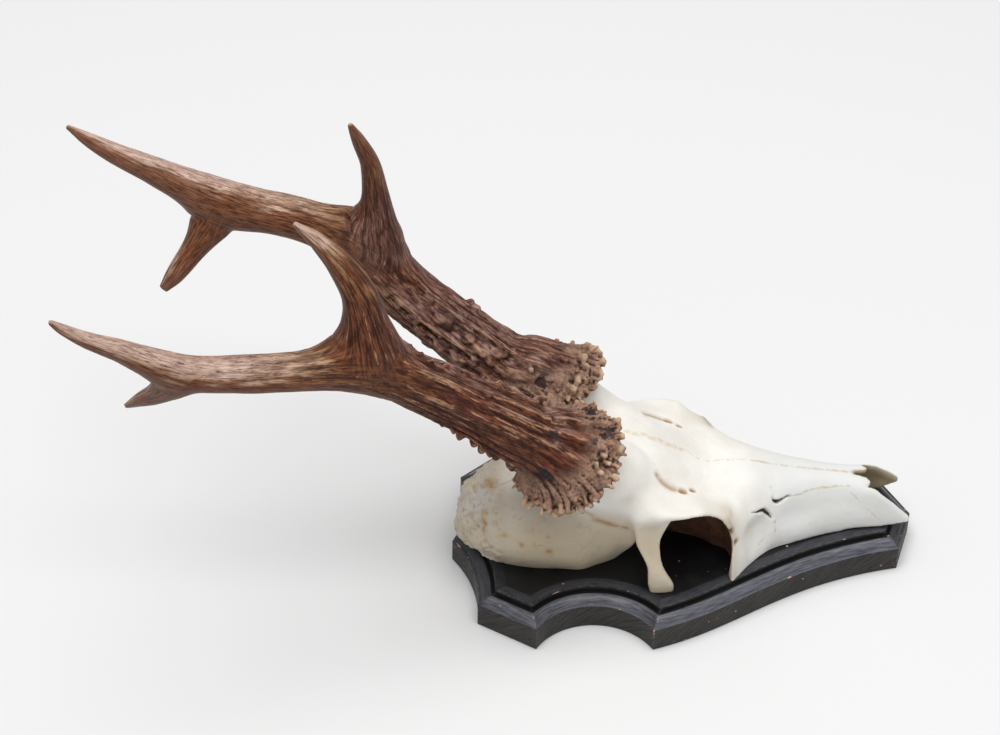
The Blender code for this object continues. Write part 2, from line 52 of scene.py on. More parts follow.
# The gap between bone and its neighbours, in millimetres.
GAP = 0.3
RIGHT_SEED = 11
LEFT_SEED = 23
SKULL_SEED = 41
SHIELD_SEED = 77
# How many points are compared with a middle line at a time, to spare memory.
CHUNK = 8192
# What the near half of the skull is multiplied by to give each half.
HALVES = ((1, 1, 1), (1, -1, 1))

# ---- the shield's sizes ----

SHIELD_LENGTH = 200.0
FIELD_HEIGHT = 16.5
TOP_CORNER = (-92.8, 39.2)
SCOOP_START = (-69.7, 56.0)
SCOOP_END = (-21.0, 60.4)
MUZZLE_CORNER = (90.8, 21.6)
# The long edge's curve leaves its corners by these ways.
EDGE_BOW = (39, -8.9)
EDGE_HOLLOW = (52.8, -5.9)
TOP_HOLLOW = 3.6
SCOOP_DEPTH = 14.0
# The moulding from the back edge up the side and inwards: (how far in, height).
MOULDING = (
    (0.45, 0), (0.12, 0.12), (0, 0.5), (0, 4), (0, 7.5), (0, 10.9), (0.1, 11.3), (0.35, 11.5),
    (0.7, 11.5), (0.95, 11.42), (1.1, 11.5), (1.4, 11.9), (1.9, 12.5), (2.6, 13.15), (3.4, 13.7),
    (4.2, 14.1), (5, 14.3), (5.6, 14.25), (6.1, 14.05), (6.5, 13.85), (6.8, 13.85), (6.95, 14.1),
    (7, 15), (7.05, 16.1), (7.15, 16.4), (7.5, 16.5), (11.4, 16.5), (11.9, 16.5),
)
# Rows of the moulding: where its side, its slope, its step and the field's rounded edge end.
SIDE_END = 7
SLOPE_END = 17
STEP_END = 24
EDGE_END = 27
UNEVEN = 0.22
SHARP_DEGREES = 38

# ---- the skull's sizes ----

# Half sections of the skull: the station x, the roof's z on the midline, then y and z in turn
# for seven more points down to the sawn edge.
SKULL_SECTIONS = (
    (-98.3, 31, 1.2, 30.7, 2, 29.5, 2.4, 28, 2.4, 26, 2, 23.5, 1.2, 21, 0.8, 19),
    (-95.5, 38, 4, 37.2, 7.5, 35, 9.6, 31.5, 10.5, 27.5, 10, 23.5, 8, 20, 5.2, 12),
    (-90, 43, 6, 42.2, 11.5, 39.5, 15.3, 35, 17.2, 29.5, 17, 24.5, 15.3, 20.5, 12, 12),
    (-82, 47.8, 8, 46.8, 15, 43.5, 20.3, 38, 23.3, 31, 23.5, 25.5, 22, 21, 18.2, 12),
    (-69, 54.5, 9.5, 53.4, 18, 49.5, 24.3, 43, 27.8, 34.5, 28, 27.5, 26.5, 22, 22, 12),
    (-56, 60, 10, 59, 19, 55, 25.6, 48, 28.8, 38, 29, 29.5, 28, 22.5, 24, 12),
    (-48, 64, 10.5, 63.4, 20, 59.5, 26.5, 52, 29, 42, 29.2, 32, 28.6, 23.5, 26, 12),
    (-40, 67.5, 11, 67.2, 22, 65, 27.5, 57, 28.6, 46, 28.2, 35, 27, 25, 23.5, 12),
    (-33, 69.2, 11, 69.4, 22, 67.5, 29, 60, 29.8, 50, 28.8, 40, 27, 29, 20, 12),
    (-27, 68.8, 10.5, 68.8, 21.5, 66, 31, 58.5, 32.4, 50, 31.6, 40, 28.5, 30, 13, 12),
    (-20, 66.6, 9.5, 66.6, 20, 63.5, 31, 57.8, 36.2, 53.2, 34, 47, 19, 35, 8, 12),
    (-10, 61.4, 9, 60.6, 20, 56.6, 30, 54.6, 36.6, 53.8, 34.6, 50.6, 12, 38, 6, 12),
    (0, 54.8, 8, 54.3, 20, 52.4, 29, 53.2, 35.2, 53.4, 33.4, 50, 13.5, 36, 9.5, 12),
    (6, 51.2, 8, 51, 20, 50, 27, 50.2, 32.6, 49.8, 31.2, 46, 16, 32, 12.8, 12),
    (9.5, 50.3, 8, 50.3, 19.5, 49.2, 26, 48.9, 32, 47.6, 31.6, 43.5, 20, 30, 16, 12),
    (12.2, 50.1, 8, 50.1, 19.2, 48.8, 26, 47.4, 32.4, 45.6, 33.4, 41.5, 24, 28, 19, 12),
    (14.4, 50, 8, 49.9, 18.6, 48.2, 25.6, 46, 31.8, 43.2, 34.4, 36, 38.2, 25.5, 41, 12),
    (18, 49.9, 8, 49.6, 17.5, 47.2, 25, 44, 29.8, 39, 32.8, 31.5, 35.6, 24, 37.6, 12),
    (24, 49.6, 8, 49, 15, 46.2, 22.5, 40, 25.5, 34.5, 27.8, 28.5, 29.4, 22.5, 30.6, 12),
    (34, 47.2, 7, 46.4, 12, 43.5, 16, 38.5, 18.8, 33, 20.8, 27.5, 22, 22, 22.8, 12),
    (46, 43.8, 5.5, 43.2, 9.5, 40.6, 12.2, 36.6, 14.6, 31.5, 16.8, 26.5, 18.2, 21.5, 18.8, 16),
    (60, 40.6, 4.5, 40.2, 7.6, 38.2, 9.6, 35, 11.4, 30.5, 13.2, 26, 14.4, 21.5, 14.9, 16),
    (72, 38.2, 4, 37.8, 6.8, 36.4, 8.6, 34, 10.2, 30, 11.8, 25.5, 12.8, 21.5, 13.2, 16.8),
    (79, 36.4, 3.6, 36.2, 6.6, 35.6, 8.7, 34.2, 10.3, 31, 11.7, 26.5, 12.7, 22, 13.1, 17),
    (84, 32.6, 4, 32.6, 8, 32.6, 10.2, 32, 11.3, 29.5, 12.2, 26, 12.9, 22, 13.2, 17.2),
    (88, 29.4, 5, 29.4, 9, 29.4, 11, 28.9, 11.9, 27, 12.6, 24.5, 13.1, 21.5, 13.3, 17.6),
    (92, 25.8, 6, 25.8, 10, 25.8, 12, 25.5, 12.7, 24.2, 13.2, 22.6, 13.4, 20.8, 13.6, 18.4),
    (96, 22, 6, 22, 10.5, 22, 12.5, 21.9, 13.1, 21.7, 13.5, 21.3, 13.7, 20.7, 13.8, 19.8),
)
# The bar behind an eye socket: (x, y, z, half width, half thickness).
BAR = (
    (-21, 28.5, 54.5, 8.5, 4.5), (-20.5, 32.5, 50.5, 8.6, 4.4), (-20.9, 33.8, 45, 7, 3.4),
    (-21.4, 35.7, 39, 5.2, 2.6), (-20, 38.2, 33, 3.8, 2.2), (-18.8, 39.9, 28.8, 3.4, 1.9),
    (-17.6, 41.3, 24.5, 4.2, 1.8), (-16.4, 41.8, 20.8, 5.3, 1.9), (-15.7, 41.9, 18, 5.4, 1.9),
    (-15.4, 42, 14, 5, 1.8),
)
NASAL_WALL = 2.0
CAVITY_START = 30
CAVITY_SIDE = 24
ROOF_END = 79.2
OPEN_FROM = 79.6
# Heights that lie clear of the skull, above and below.
CLEAR_ABOVE = 60.0
CLEAR_BELOW = 4.0
# A pedicle, from its top down: (distance, radius at the front, radius elsewhere).
PEDICLE = (
    (0, 15.2, 12.8), (3, 16.6, 12.9), (8, 19, 13.2), (12, 20.8, 13.4), (16, 23.2, 13.2),
    (21, 25, 11.5), (27, 24, 8),
)
# The eye socket: middle, half axes, how boxy it is, and how much narrower in front low down.
ORBIT = ((-1.2, 36.0, 27.0), (16.0, 20.0, 25.2))
ORBIT_SQUARENESS = 0.68
ORBIT_TAPER = 0.05
ORBIT_SLANT = 0.38
ORBIT_FALL = 3.2
# From its middle: the heights over which its lower part sets in, and the x over which its front does.
ORBIT_LOW = (13.0, -9.0)
ORBIT_FRONT = (-1, 9)
# The outline of a nose bone's tip from above: (y away from the midline, x).
NOSE_TIP = (
    (0, 68.6), (0.3, 71), (0.7, 73.8), (1.4, 76.5), (2.6, 78.6), (4, 79.4), (5.2, 78.8),
    (6.2, 77.2), (7.1, 75.5),
)

# Lines on the skull's near half, as (x, y away from the midline, z); both halves get each one.
SUTURES = (
    (
        (25, 0, 49.4), (31, 0.2, 48), (40, 0, 45.4), (49, 0.2, 43), (58, 0, 41), (66, 0.1, 39.3),
        (72, 0, 38),
    ),
    ((34, 11.3, 43.8), (34.8, 13, 41.8), (34.5, 14.6, 40)),
    (
        (41.5, 12.6, 38.4), (47.4, 11.2, 37.8), (51, 10, 38.1), (56.5, 8.6, 38.1), (61, 7.8, 37.6),
        (67.8, 6.8, 36.7), (77, 5.8, 35),
    ),
    (
        (68.6, 7.3, 35.9), (70.8, 8.6, 33.4), (73.5, 9.6, 30.6), (75.7, 10.4, 28.2),
        (77.9, 11.4, 26), (83, 12.9, 21),
    ),
    (
        (-86, 18, 33.6), (-82, 22, 34.2), (-76, 25.3, 34.6), (-70.8, 27.8, 32.5),
        (-62.5, 28.7, 33.8), (-57, 29, 30.8), (-48.6, 28.2, 26.3), (-40, 23.1, 19),
    ),
    (
        (35.8, 18.9, 30), (36.2, 19.6, 27.4), (35.9, 20.7, 24.9), (33.6, 22.4, 24.6),
        (31.3, 23.3, 23.7), (29.4, 24.8, 21.8),
    ),
)
# Open slits beside the nose bones: balls (x, y away from the midline, z, radius) along each.
SLITS = (
    (
        (33.8, 14.0, 41.2, 0.1), (35.2, 15.1, 38.9, 0.5), (37, 15.1, 37.9, 0.7),
        (39.4, 13.8, 38, 0.5), (42, 12.4, 38.6, 0.2),
    ),
    (
        (24.6, 22.2, 39.6, 0.2), (27.4, 20.9, 38.2, 0.5), (30.6, 19.2, 37.2, 0.9),
        (33, 19, 34.2, 0.7), (35.4, 19.6, 30.4, 0.2),
    ),
)
# The wavy seam between the two halves of the forehead.
FOREHEAD_SEAM = (
    (-27, 0.5, 68.9), (-23.8, -0.2, 67.9), (-20.4, 0.4, 66.7), (-16.9, -0.3, 65.2),
    (-13.4, 0.4, 63.3), (-9.9, -0.4, 61.3), (-6.4, 0.3, 59), (-3.6, 0.4, 57.2),
)
FOREHEAD_LINE = (
    (-3.6, 0.6, 57), (-2, 1.6, 55.8), (1.2, 0.5, 53.9), (4.6, -0.6, 51.8), (9, -0.8, 50.4),
    (13.8, 0, 49.9), (25, 0.2, 49.4),
)
BROW_GROOVE = (
    (-16.4, 18.7, 61.1), (-14.8, 20.4, 59.2), (-12.7, 21.2, 57.5), (-10.6, 21.7, 56),
    (-9.2, 21.7, 55.2),
)
BROW_PITS = (
    ((-5.4, 21.7, 53.9), 2.2, 1.3), ((-0.9, 19.9, 52.5), 1.5, 0.9),
    ((-17.5, 14.8, 63.3), 0.5, 0.4),
)
TEMPLE_LINE = (
    (-51.3, 26, 50.3), (-47.3, 27.5, 49.7), (-42.3, 28.4, 47.2), (-35.9, 28.8, 44.2),
    (-32.2, 29.4, 43.3), (-28.7, 31.2, 43.6),
)
EYE_NOTCHES = (((13.8, 33.6, 40), 1.7), ((16.7, 33.2, 33.6), 1.4))
# The hollow in front of an eye socket, and the flat one beside the upper jaw.
CHEEK_HOLLOW = (27.5, 25.5, 31.5)
CHEEK_DEPTH = 2.6
JAW_HOLLOW = (45, 16, 30)
JAW_HOLLOW_SIZE = (8, 6, 6)
JAW_DEPTH = 0.9
# Where the stalks grow out of the skull: (place, reach, rounds of smoothing).
SKULL_BLENDS = (
    ((-38, 24, 60), 17, 60), ((-27, 20, 63), 11, 120), ((-20, 22, 60), 8, 80),
    ((-28, 31, 50), 9, 40), ((-48, 28, 50), 14, 40), ((-52, 0, 64), 14, 40),
)
# Stains that are easy to see in the photograph: (place, radius, strength).
SKULL_SPOTS = (
    ((-88, -13.4, 39.9), 1.8, 0.5), ((-88.2, -15.8, 36.8), 1.6, 0.7),
    ((-88.3, -17.4, 33.8), 1.5, 0.6), ((-84.4, -1.9, 46.1), 2.6, 0.9),
    ((-80, -22.8, 35.5), 1.3, 0.6), ((-73.3, -26.8, 33.1), 1.3, 0.7),
    ((-62, -28.8, 30.5), 1.5, 1), ((-62.5, -28, 38), 1.1, 0.6), ((-30, -29, 60), 4, 0.25),
    ((-80, 20, 38), 2, 0.7), ((-66, 27, 34), 1.4, 0.8), ((-90, 9, 38), 2.4, 0.7),
)

# ---- the antlers' sizes ----

# Spine points (x, y, z, radius), with y measured away from the skull's midline.
RIGHT_LIMBS = {
    "beam": (
        (-50.2, 22.4, 73.8, 12), (-75, 24.5, 96, 13.6), (-96.5, 27.3, 114, 11.9),
        (-115, 31.5, 130.8, 11.1), (-131, 35.5, 142.5, 10.8), (-148, 40, 148.5, 8.8),
        (-164, 44, 152, 7.8), (-185, 48, 155.7, 7.6), (-203, 50.5, 159.7, 7),
        (-219.5, 53, 168.3, 6), (-232, 55.5, 178, 4.4), (-243, 58, 185.8, 3.2),
        (-251.5, 59.5, 193, 2.1), (-256, 60.5, 198, 0.9),
    ),
    "front_tine": (
        (-133, 36, 146, 11.2), (-135, 36, 157, 10.6), (-137, 35.5, 167, 8.8), (-140, 34, 181, 7),
        (-147, 32, 194.6, 5.2), (-155, 30.5, 205, 3.4), (-164, 29, 213.5, 0.9),
    ),
    "rear_tine": (
        (-202, 51, 161, 6.2), (-210, 49.5, 154.5, 5.8), (-218, 46, 147, 4.6),
        (-224.5, 41, 140, 3.3), (-232, 36, 132, 1),
    ),
}
LEFT_LIMBS = {
    "beam": (
        (-47.5, 22.4, 69.8, 12), (-65, 24, 84, 14.2), (-80, 25.8, 92, 12.8),
        (-93.5, 28.5, 103.5, 12.1), (-106, 31.5, 114, 11.8), (-121, 36, 127.5, 11.1),
        (-140, 40.5, 147, 9.8), (-159, 44, 156.7, 8.9), (-176, 47, 160.6, 8.8),
        (-197, 50, 168.3, 8), (-208, 51.5, 173.5, 6.9), (-219, 53.5, 179.2, 5.6),
        (-232, 56.3, 185.4, 4.3), (-242, 58.8, 191, 2.9), (-250.3, 60.5, 197, 0.8),
    ),
    "front_tine": (
        (-128.5, 37.5, 140, 11.4), (-126.5, 36.6, 149, 9.8), (-127.6, 35.6, 159, 7.8),
        (-129, 34, 176, 5.5), (-130.8, 32, 191.8, 4.1), (-135.5, 30, 206, 2.8), (-139, 29, 215, 1),
    ),
    "rear_tine": (
        (-190, 49, 161, 6.4), (-195, 48, 152.5, 6.9), (-203, 44, 143.8, 5.4),
        (-211, 38.5, 135.6, 4), (-216.5, 35.5, 130.2, 1.8),
    ),
}
# Burrs: the rim's middle, the way its plane faces, its radius, and where along the beam it ends.
RIGHT_BURR = ((-55.3, 23.2, 79.0), (-0.48, 0.29, 0.83), 24.5, 27.0)
LEFT_BURR = ((-56.6, 24.6, 78.8), (-0.37, 0.17, 0.91), 23.0, 31.0)
# Cream lumps on a burr: (height, degrees, radius), and dark stains, with how far they are sunk.
RIGHT_LUMPS = (
    (-2.5, 102, 2.6), (1, 69, 1.9), (3.5, 57, 1.8), (2.5, 51, 1.4), (4, 45, 1.3), (3, 39, 1.6),
    (-2.5, -30, 2.1), (-2.5, -3, 1.9), (-1.5, 6, 1.7), (0, 84, 1.3), (-3, -12, 1.3), (0, 15, 1.3),
    (0, -66, 1.4),
)
LEFT_LUMPS = (
    (4, 102, 2.2), (3, 135, 1.9), (3, 111, 1.6), (2.5, 147, 1.8), (0.5, 72, 1.5), (-0.5, 90, 1.7),
    (-1.5, 108, 1.6), (8, 75, 1.2), (12.5, 147, 1.6),
)
RIGHT_STAINS = (
    (2.5, 87, 3.4, 0.6), (4.5, 72, 2.8, 0.6), (3, 123, 2.8, 1.4), (0, 132, 2.4, 1.2),
    (8.5, -16, 5, 1.6), (16, 50, 3.6, 0.4),
)
LEFT_STAINS = ((1.0, 120, 2.8, 1.0), (7.0, 160, 4.0, 1.0))
# A burr's skirt: (height, share of the rim's radius, how far it has turned into the beam).
BURR_SECTIONS = (
    (-6, 0.5, 0), (-5, 0.7, 0), (-3.4, 0.84, 0), (-1.8, 0.92, 0), (0, 0.955, 0),
    (1.4, 0.93, 0.03), (3, 0.87, 0.11), (5, 0.8, 0.25), (8, 0.75, 0.48), (11, 0.73, 0.7),
    (14, 0.73, 0.9), (17, 0.73, 1),
)
# Rows of ribs: (count, top height, lowest height, reach past the rim, rib radius, drop radius).
BURR_ROWS = (
    (10, (7, 13), (3, 6), (0.1, 0.8), 0.55, 0.8),
    (34, (0.8, 5), (-1.2, 1.4), (1.4, 3), 0.8, 1.05),
    (52, (-0.5, 2), (-3.4, -1.8), (1.6, 3.4), 0.85, 0.6),
    (48, (-3.2, -2), (-5.2, -4), (1, 2.6), 0.85, 0.55),
)
RIB_LOST = 0.12
RIBS_BRIDGED = 0.3
LUMP_COUNT = 110
# Pegs are tried at this many places, from this far along the beam, over this length of it.
PEG_TRIES = 520
PEG_START = 18
PEG_SPAN = 95
MIDLINE_GAP = 0.8

# Big knobs: (distance along the beam, degrees from outwards to the front, radius).
RIGHT_PEARLS = (
    (105, 100, 1), (99, 93, 1.1), (93, 88, 1.2), (84, 98, 1.1), (75, 106, 1.3), (66, 69, 1.3),
    (65, 118, 1.5), (58, 108, 1.4), (52, 110, 1.6), (47, 106, 1.7), (41, 102, 1.8), (36, 118, 2),
    (33, 88, 1.8), (75, -33, 1.4), (68, -36, 1.2), (62, -39, 1.9), (56, -38, 1.5), (51, -39, 2.2),
    (45, -45, 2), (40, -50, 2.1), (36, -42, 2.2), (31, -50, 2), (31, 42, 1.5),
)
LEFT_PEARLS = (
    (100, -177, 2.4), (93, -171, 2), (86, -168, 2.4), (76, -155, 2.7), (68, -162, 2.9),
    (62, -162, 2.4), (55, -155, 3), (53, -177, 2.4), (45, -174, 2.8), (85, 138, 2.8),
    (76, 152, 3.2), (72, 149, 3.8), (61, 150, 2.8), (48, 143, 2.8), (45, 139, 2.4), (38, 135, 2.2),
    (39, 160, 2.4), (28, 147, 2.6), (23, 159, 2.8), (65, 63, 2.2), (61, 75, 2.2),
)
# Forks: the tine, its web's width, rounds and reach of smoothing, where it stands free,
# its root's tone and how late it pales.
FORKS = (
    ("front_tine", 22.0, 60, 15.0, 9.0, 0.34, 3.0),
    ("rear_tine", 19.0, 150, 18.0, 5.0, 0.55, 2.2),
)

# The smoothing where a burr's skirt meets its beam.
JOIN_ROUNDS = 14
JOIN_REACH = 4.5
# Crests round a limb, coarse and fine, and its fibres' cells and their length.
COARSE_CRESTS = 14
FINE_CRESTS = 33
FIBRES = (60, 7.0)
BEAM_SIDES = 230
TINE_SIDES = 120
RING_STEP = 0.5
THINNEST = 0.35
ANTLER_VOXEL = 0.5
ANTLER_TRIANGLES = 190000
SKULL_VOXEL = 0.72


# ---- numbers and meshes ----


def unit(vectors):
    return vectors / np.linalg.norm(vectors, axis=-1, keepdims=True)


def smoothstep(low, high, value):
    share = np.clip((value - low) / (high - low), 0, 1)
    return share * share * (3 - 2 * share)


def bell(value, width):
    """One at zero, falling away softly on both sides within about this width."""
    return np.exp(-((value / width) ** 2))


def circle(count):
    """Angles at even steps round a circle."""
    return np.linspace(0, 2 * math.pi, count, endpoint=False)


def monotone(xs, ys, at):
    """Smooth interpolation through (xs, ys) that never overshoots. ys may have several columns."""
    xs, ys = np.asarray(xs, float), np.asarray(ys, float)
    columns = (-1,) + (1,) * (ys.ndim - 1)
    steps = np.diff(xs).reshape(columns)
    slopes = np.diff(ys, axis=0) / steps
    before, after = slopes[:-1], slopes[1:]
    product = before * after
    total = np.where(before + after == 0, 1.0, before + after)
    inner = np.where(product > 0, 2 * product / total, 0.0)
    tangents = np.concatenate([slopes[:1], inner, slopes[-1:]])
    at = np.clip(np.asarray(at, float), xs[0], xs[-1])
    index = np.clip(np.searchsorted(xs, at, side="right") - 1, 0, len(xs) - 2)
    width = steps[index]
    share = (at - xs[index]).reshape(columns) / width
    rest = 1 - share
    return (
        ys[index] * rest**2 * (1 + 2 * share)
        + ys[index + 1] * share**2 * (1 + 2 * rest)
        + tangents[index] * width * share * rest**2
        - tangents[index + 1] * width * share**2 * rest
    )


def rounded(points, count):
    """A Catmull-Rom curve through points, as count points at even steps of its parameter."""
    points = np.asarray(points, float)
    padded = np.vstack([2 * points[0] - points[1], points, 2 * points[-1] - points[-2]])
    position = np.linspace(0, len(points) - 1, count)
    start = np.minimum(position.astype(int), len(points) - 2)
    share = (position - start)[:, None]
    a, b, c, d = (padded[start + shift] for shift in range(4))
    square = (2 * a - 5 * b + 4 * c - d) * share**2
    cube = (3 * b - a - 3 * c + d) * share**3
    return 0.5 * (2 * b + (c - a) * share + square + cube)


def nearest(places, points):
    """For each point: the number of the nearest place, and the distance to it."""
    tree = KDTree(len(places))
    for index, place in enumerate(places):
        tree.insert(place, index)
    tree.balance()
    found = np.array([tree.find(point)[1:] for point in points])
    return found[:, 0].astype(int), found[:, 1]


class Noise:
    """Smooth noise from 0 to 1 through space, from a seeded table that repeats every 32 cells."""

    def __init__(self, seed):
        self.table = np.random.default_rng(seed).random((32, 32, 32))

    def __call__(self, points):
        cell = np.floor(points).astype(int)
        share = smoothstep(0, 1, points - cell)
        total = np.zeros(points.shape[:-1])
        for corner in itertools.product((0, 1), repeat=3):
            weight = np.prod(np.where(corner, share, 1 - share), axis=-1)
            index = (cell + corner) % 32
            total += weight * self.table[index[..., 0], index[..., 1], index[..., 2]]
        return total


def link(name, data):
    """A new object in the scene."""
    obj = bpy.data.objects.new(name, data)
    bpy.context.scene.collection.objects.link(obj)
    return obj


class Shells:
    """A growing list of closed shells, later fused into one mesh."""

    def __init__(self):
        self.points, self.faces, self.total = [], [], 0

    def add(self, points, faces):
        self.points.append(points)
        self.faces += [tuple(index + self.total for index in face) for face in faces]
        self.total += len(points)

    def loft(self, rings):
        """A shell through rings, an array (rings, sides, 3), with a flat cap on each end."""
        count, sides = rings.shape[:2]
        start = np.arange(count - 1)[:, None] * sides
        here = np.arange(sides)[None]
        there = (here + 1) % sides
        quads = np.stack([start + here, start + there, start + sides + there, start + sides + here], -1)
        last = (count - 1) * sides
        caps = [tuple(range(sides))[::-1], tuple(range(last, last + sides))]
        self.add(rings.reshape(-1, 3), quads.reshape(-1, 4).tolist() + caps)

    def object(self, name):
        mesh = bpy.data.meshes.new(name)
        mesh.from_pydata((np.vstack(self.points) * MM).tolist(), [], self.faces)
        bm = bmesh.new()
        bm.from_mesh(mesh)
        bmesh.ops.recalc_face_normals(bm, faces=bm.faces)
        bm.to_mesh(mesh)
        bm.free()
        return link(name, mesh)


def lofted(name, rings):
    shells = Shells()
    shells.loft(np.array(rings))
    return shells.object(name)


def modify(obj, kind, **settings):
    """Applies a modifier to obj."""
    modifier = obj.modifiers.new(kind, kind)
    for key, value in settings.items():
        setattr(modifier, key, value)
    graph = bpy.context.evaluated_depsgraph_get()
    mesh = bpy.data.meshes.new_from_object(obj.evaluated_get(graph))
    obj.modifiers.clear()
    obj.data = mesh
    mesh.name = obj.name


def fuse(obj, voxel):
    """Overlapping shells made one skin."""
    modify(obj, "REMESH", mode="VOXEL", voxel_size=voxel * MM)


def thin_out(obj, triangles):
    """Fewer triangles, most of them taken where the surface is smooth."""
    total = sum(len(face.vertices) - 2 for face in obj.data.polygons)
    modify(obj, "DECIMATE", ratio=min(1.0, triangles / total))


def subtract(obj, cutter):
    """Cuts the cutter's shape out of obj, and does away with the cutter."""
    modify(obj, "BOOLEAN", operation="DIFFERENCE", object=cutter)
    bpy.data.objects.remove(cutter, do_unlink=True)


@functools.cache
def ball(subdivisions):
    bm = bmesh.new()
    bmesh.ops.create_icosphere(bm, subdivisions=subdivisions, radius=1.0)
    points = np.array([v.co[:] for v in bm.verts])
    faces = [tuple(v.index for v in face.verts) for face in bm.faces]
    bm.free()
    return points, faces


class Surface:
    """A mesh's points as an array in millimetres, with what is needed to smooth and push them."""

    def __init__(self, obj):
        self.mesh = obj.data
        self.points = self.read(self.mesh.vertices, "co", 3) / MM
        self.edges = self.read(self.mesh.edges, "vertices", 2, np.int32)
        self.degree = np.bincount(self.edges.ravel(), minlength=len(self.points))[:, None]

    @staticmethod
    def read(items, name, width, kind=np.float32):
        values = np.empty(len(items) * width, kind)
        items.foreach_get(name, values)
        return values.reshape(-1, width).astype(float if kind == np.float32 else int)

    def around(self, values):
        """The mean of each point's neighbours."""
        first, second = self.edges.T
        total = np.empty_like(values)
        for column in range(values.shape[1]):
            total[:, column] = np.bincount(first, values[second, column], len(values))
            total[:, column] += np.bincount(second, values[first, column], len(values))
        return total / self.degree

    def smoothed(self, values, rounds, share=1.0):
        for _ in range(rounds):
            values = values + share * 0.5 * (self.around(values) - values)
        return values

    def smooth(self, rounds, share=1.0):
        """Smooths the points themselves, each by its share."""
        share = share if np.ndim(share) == 0 else share[:, None]
        self.points = self.smoothed(self.points, rounds, share)

    def away(self, place):
        """Each point's distance to a place."""
        return np.linalg.norm(self.points - place, axis=1)

    def away_from_lines(self, lines):
        """Each point's distance to the nearest of some lines, each a list of points."""
        return nearest(np.vstack([rounded(line, 24 * len(line)) for line in lines]), self.points)[1]

    def store(self):
        self.mesh.vertices.foreach_set("co", (self.points * MM).astype(np.float32).ravel())
        self.mesh.update()

    def normals(self):
        self.store()
        return self.read(self.mesh.vertices, "normal", 3)

    def push(self, heights):
        """Moves each point outwards by its height."""
        self.points += self.normals() * heights[:, None]

    def relief(self, rounds):
        """How far each point stands out of the smoothed surface, in millimetres."""
        offset = self.points - self.smoothed(self.points, rounds)
        return (offset * self.normals()).sum(1)

    def keep(self, **fields):
        """Stores each named field on the points, a number or a vector each, for the material."""
        for name, values in fields.items():
            kind, key = ("FLOAT", "value") if values.ndim == 1 else ("FLOAT_VECTOR", "vector")
            layer = self.mesh.attributes.new(name, kind, "POINT")
            layer.data.foreach_set(key, values.astype(np.float32).ravel())


# ---- antlers ----


def closest(points, centre):
    """The number of the centre point that lies nearest each point."""
    squares = (points**2).sum(1)[:, None] - 2 * points @ centre.T + (centre**2).sum(1)
    return squares.argmin(1)


class Limb:
    """A beam's or tine's middle line and radius, read by distance from its root."""

    def __init__(self, points, side):
        self.table = np.array(points, float)
        self.table[:, 1] *= side
        chords = np.linalg.norm(np.diff(self.table[:, :3], axis=0), axis=1)
        self.knots = np.concatenate([[0.0], np.cumsum(chords)])
        self.side = side
        self.length = self.knots[-1]

    def middle(self, distances):
        return monotone(self.knots, self.table[:, :3], distances)

    def frame(self, distances):
        """Middle points, radii, and the axes outwards, to the front and along, at each distance."""
        distances = np.atleast_1d(np.asarray(distances, float))
        radius = monotone(self.knots, self.table[:, 3], distances)
        ahead = np.minimum(distances + 1, self.length)
        along = unit(self.middle(ahead) - self.middle(ahead - 2))
        sideways = np.array((0.0, self.side, 0.0))
        out = unit(sideways - along * along.dot(sideways)[:, None])
        front = np.cross(out, along) * self.side
        return self.middle(distances), radius, out, front, along

    def surface(self, distances, angles, radii):
        """Points at radii from the middle line, angles running from outwards to the front."""
        centre, _, out, front, _ = self.frame(distances)
        return centre + (out * np.cos(angles)[:, None] + front * np.sin(angles)[:, None]) * radii[:, None]

    def sheath(self, distances, angles, radius_at):
        """Rings of points round the limb, at these distances and angles."""
        distance, angle = (grid.ravel() for grid in np.meshgrid(distances, angles, indexing="ij"))
        radius = np.maximum(radius_at(distance, angle), THINNEST)
        return self.surface(distance, angle, radius).reshape(len(distances), len(angles), 3)

    def nearest(self, points):
        """For each point: its distance along the limb, and its angle round it."""
        steps = np.arange(0, self.length, 1.0)
        centre, _, out, front, along = self.frame(steps)
        starts = range(0, len(points), CHUNK)
        best = np.concatenate([closest(points[start : start + CHUNK], centre) for start in starts])
        offset = points - centre[best]
        ahead, sideways, forwards = ((offset * axis[best]).sum(1) for axis in (along, out, front))
        return steps[best] + ahead, np.arctan2(forwards, sideways)

    def gap(self, points, start=0.0):
        """How far points lie off the limb beyond start, and which way leads straight out of it."""
        centre, radius, *_ = self.frame(np.arange(start, self.length, 1.0))
        best = closest(points, centre)
        offset = points - centre[best]
        away = np.linalg.norm(offset, axis=1)
        return away - radius[best], offset / away[:, None]


def grain(distance, angle, cells, length):
    """Where a point lies in a pattern of so many cells round a limb, each `length` long."""
    turn = cells / (2 * math.pi)
    return np.stack([np.cos(angle) * turn, np.sin(angle) * turn, distance / length], -1)


def crests(noise, distance, angle, count):
    """Long ridges side by side, from 0 to 1: they wander, fade and return along the limb."""
    wander = noise(grain(distance, angle, 5, 42.0)) + 0.4 * noise(grain(distance, angle, 11, 19.0) + 3.7)
    turn = angle + 0.12 * np.sin(3 * angle + 1) + 0.08 * np.sin(5 * angle + 2)
    ridge = 0.5 + 0.5 * np.cos(count * turn + 7.0 * wander)
    strength = smoothstep(0.22, 0.55, noise(grain(distance + 50, angle, count * 0.7, 24.0) + 11.0))
    return ridge * (0.25 + 0.75 * strength)


def coarse_and_fine(noise, distance, angle):
    coarse = crests(noise, distance, angle, COARSE_CRESTS)
    return coarse, crests(noise, distance + 300, angle, FINE_CRESTS)


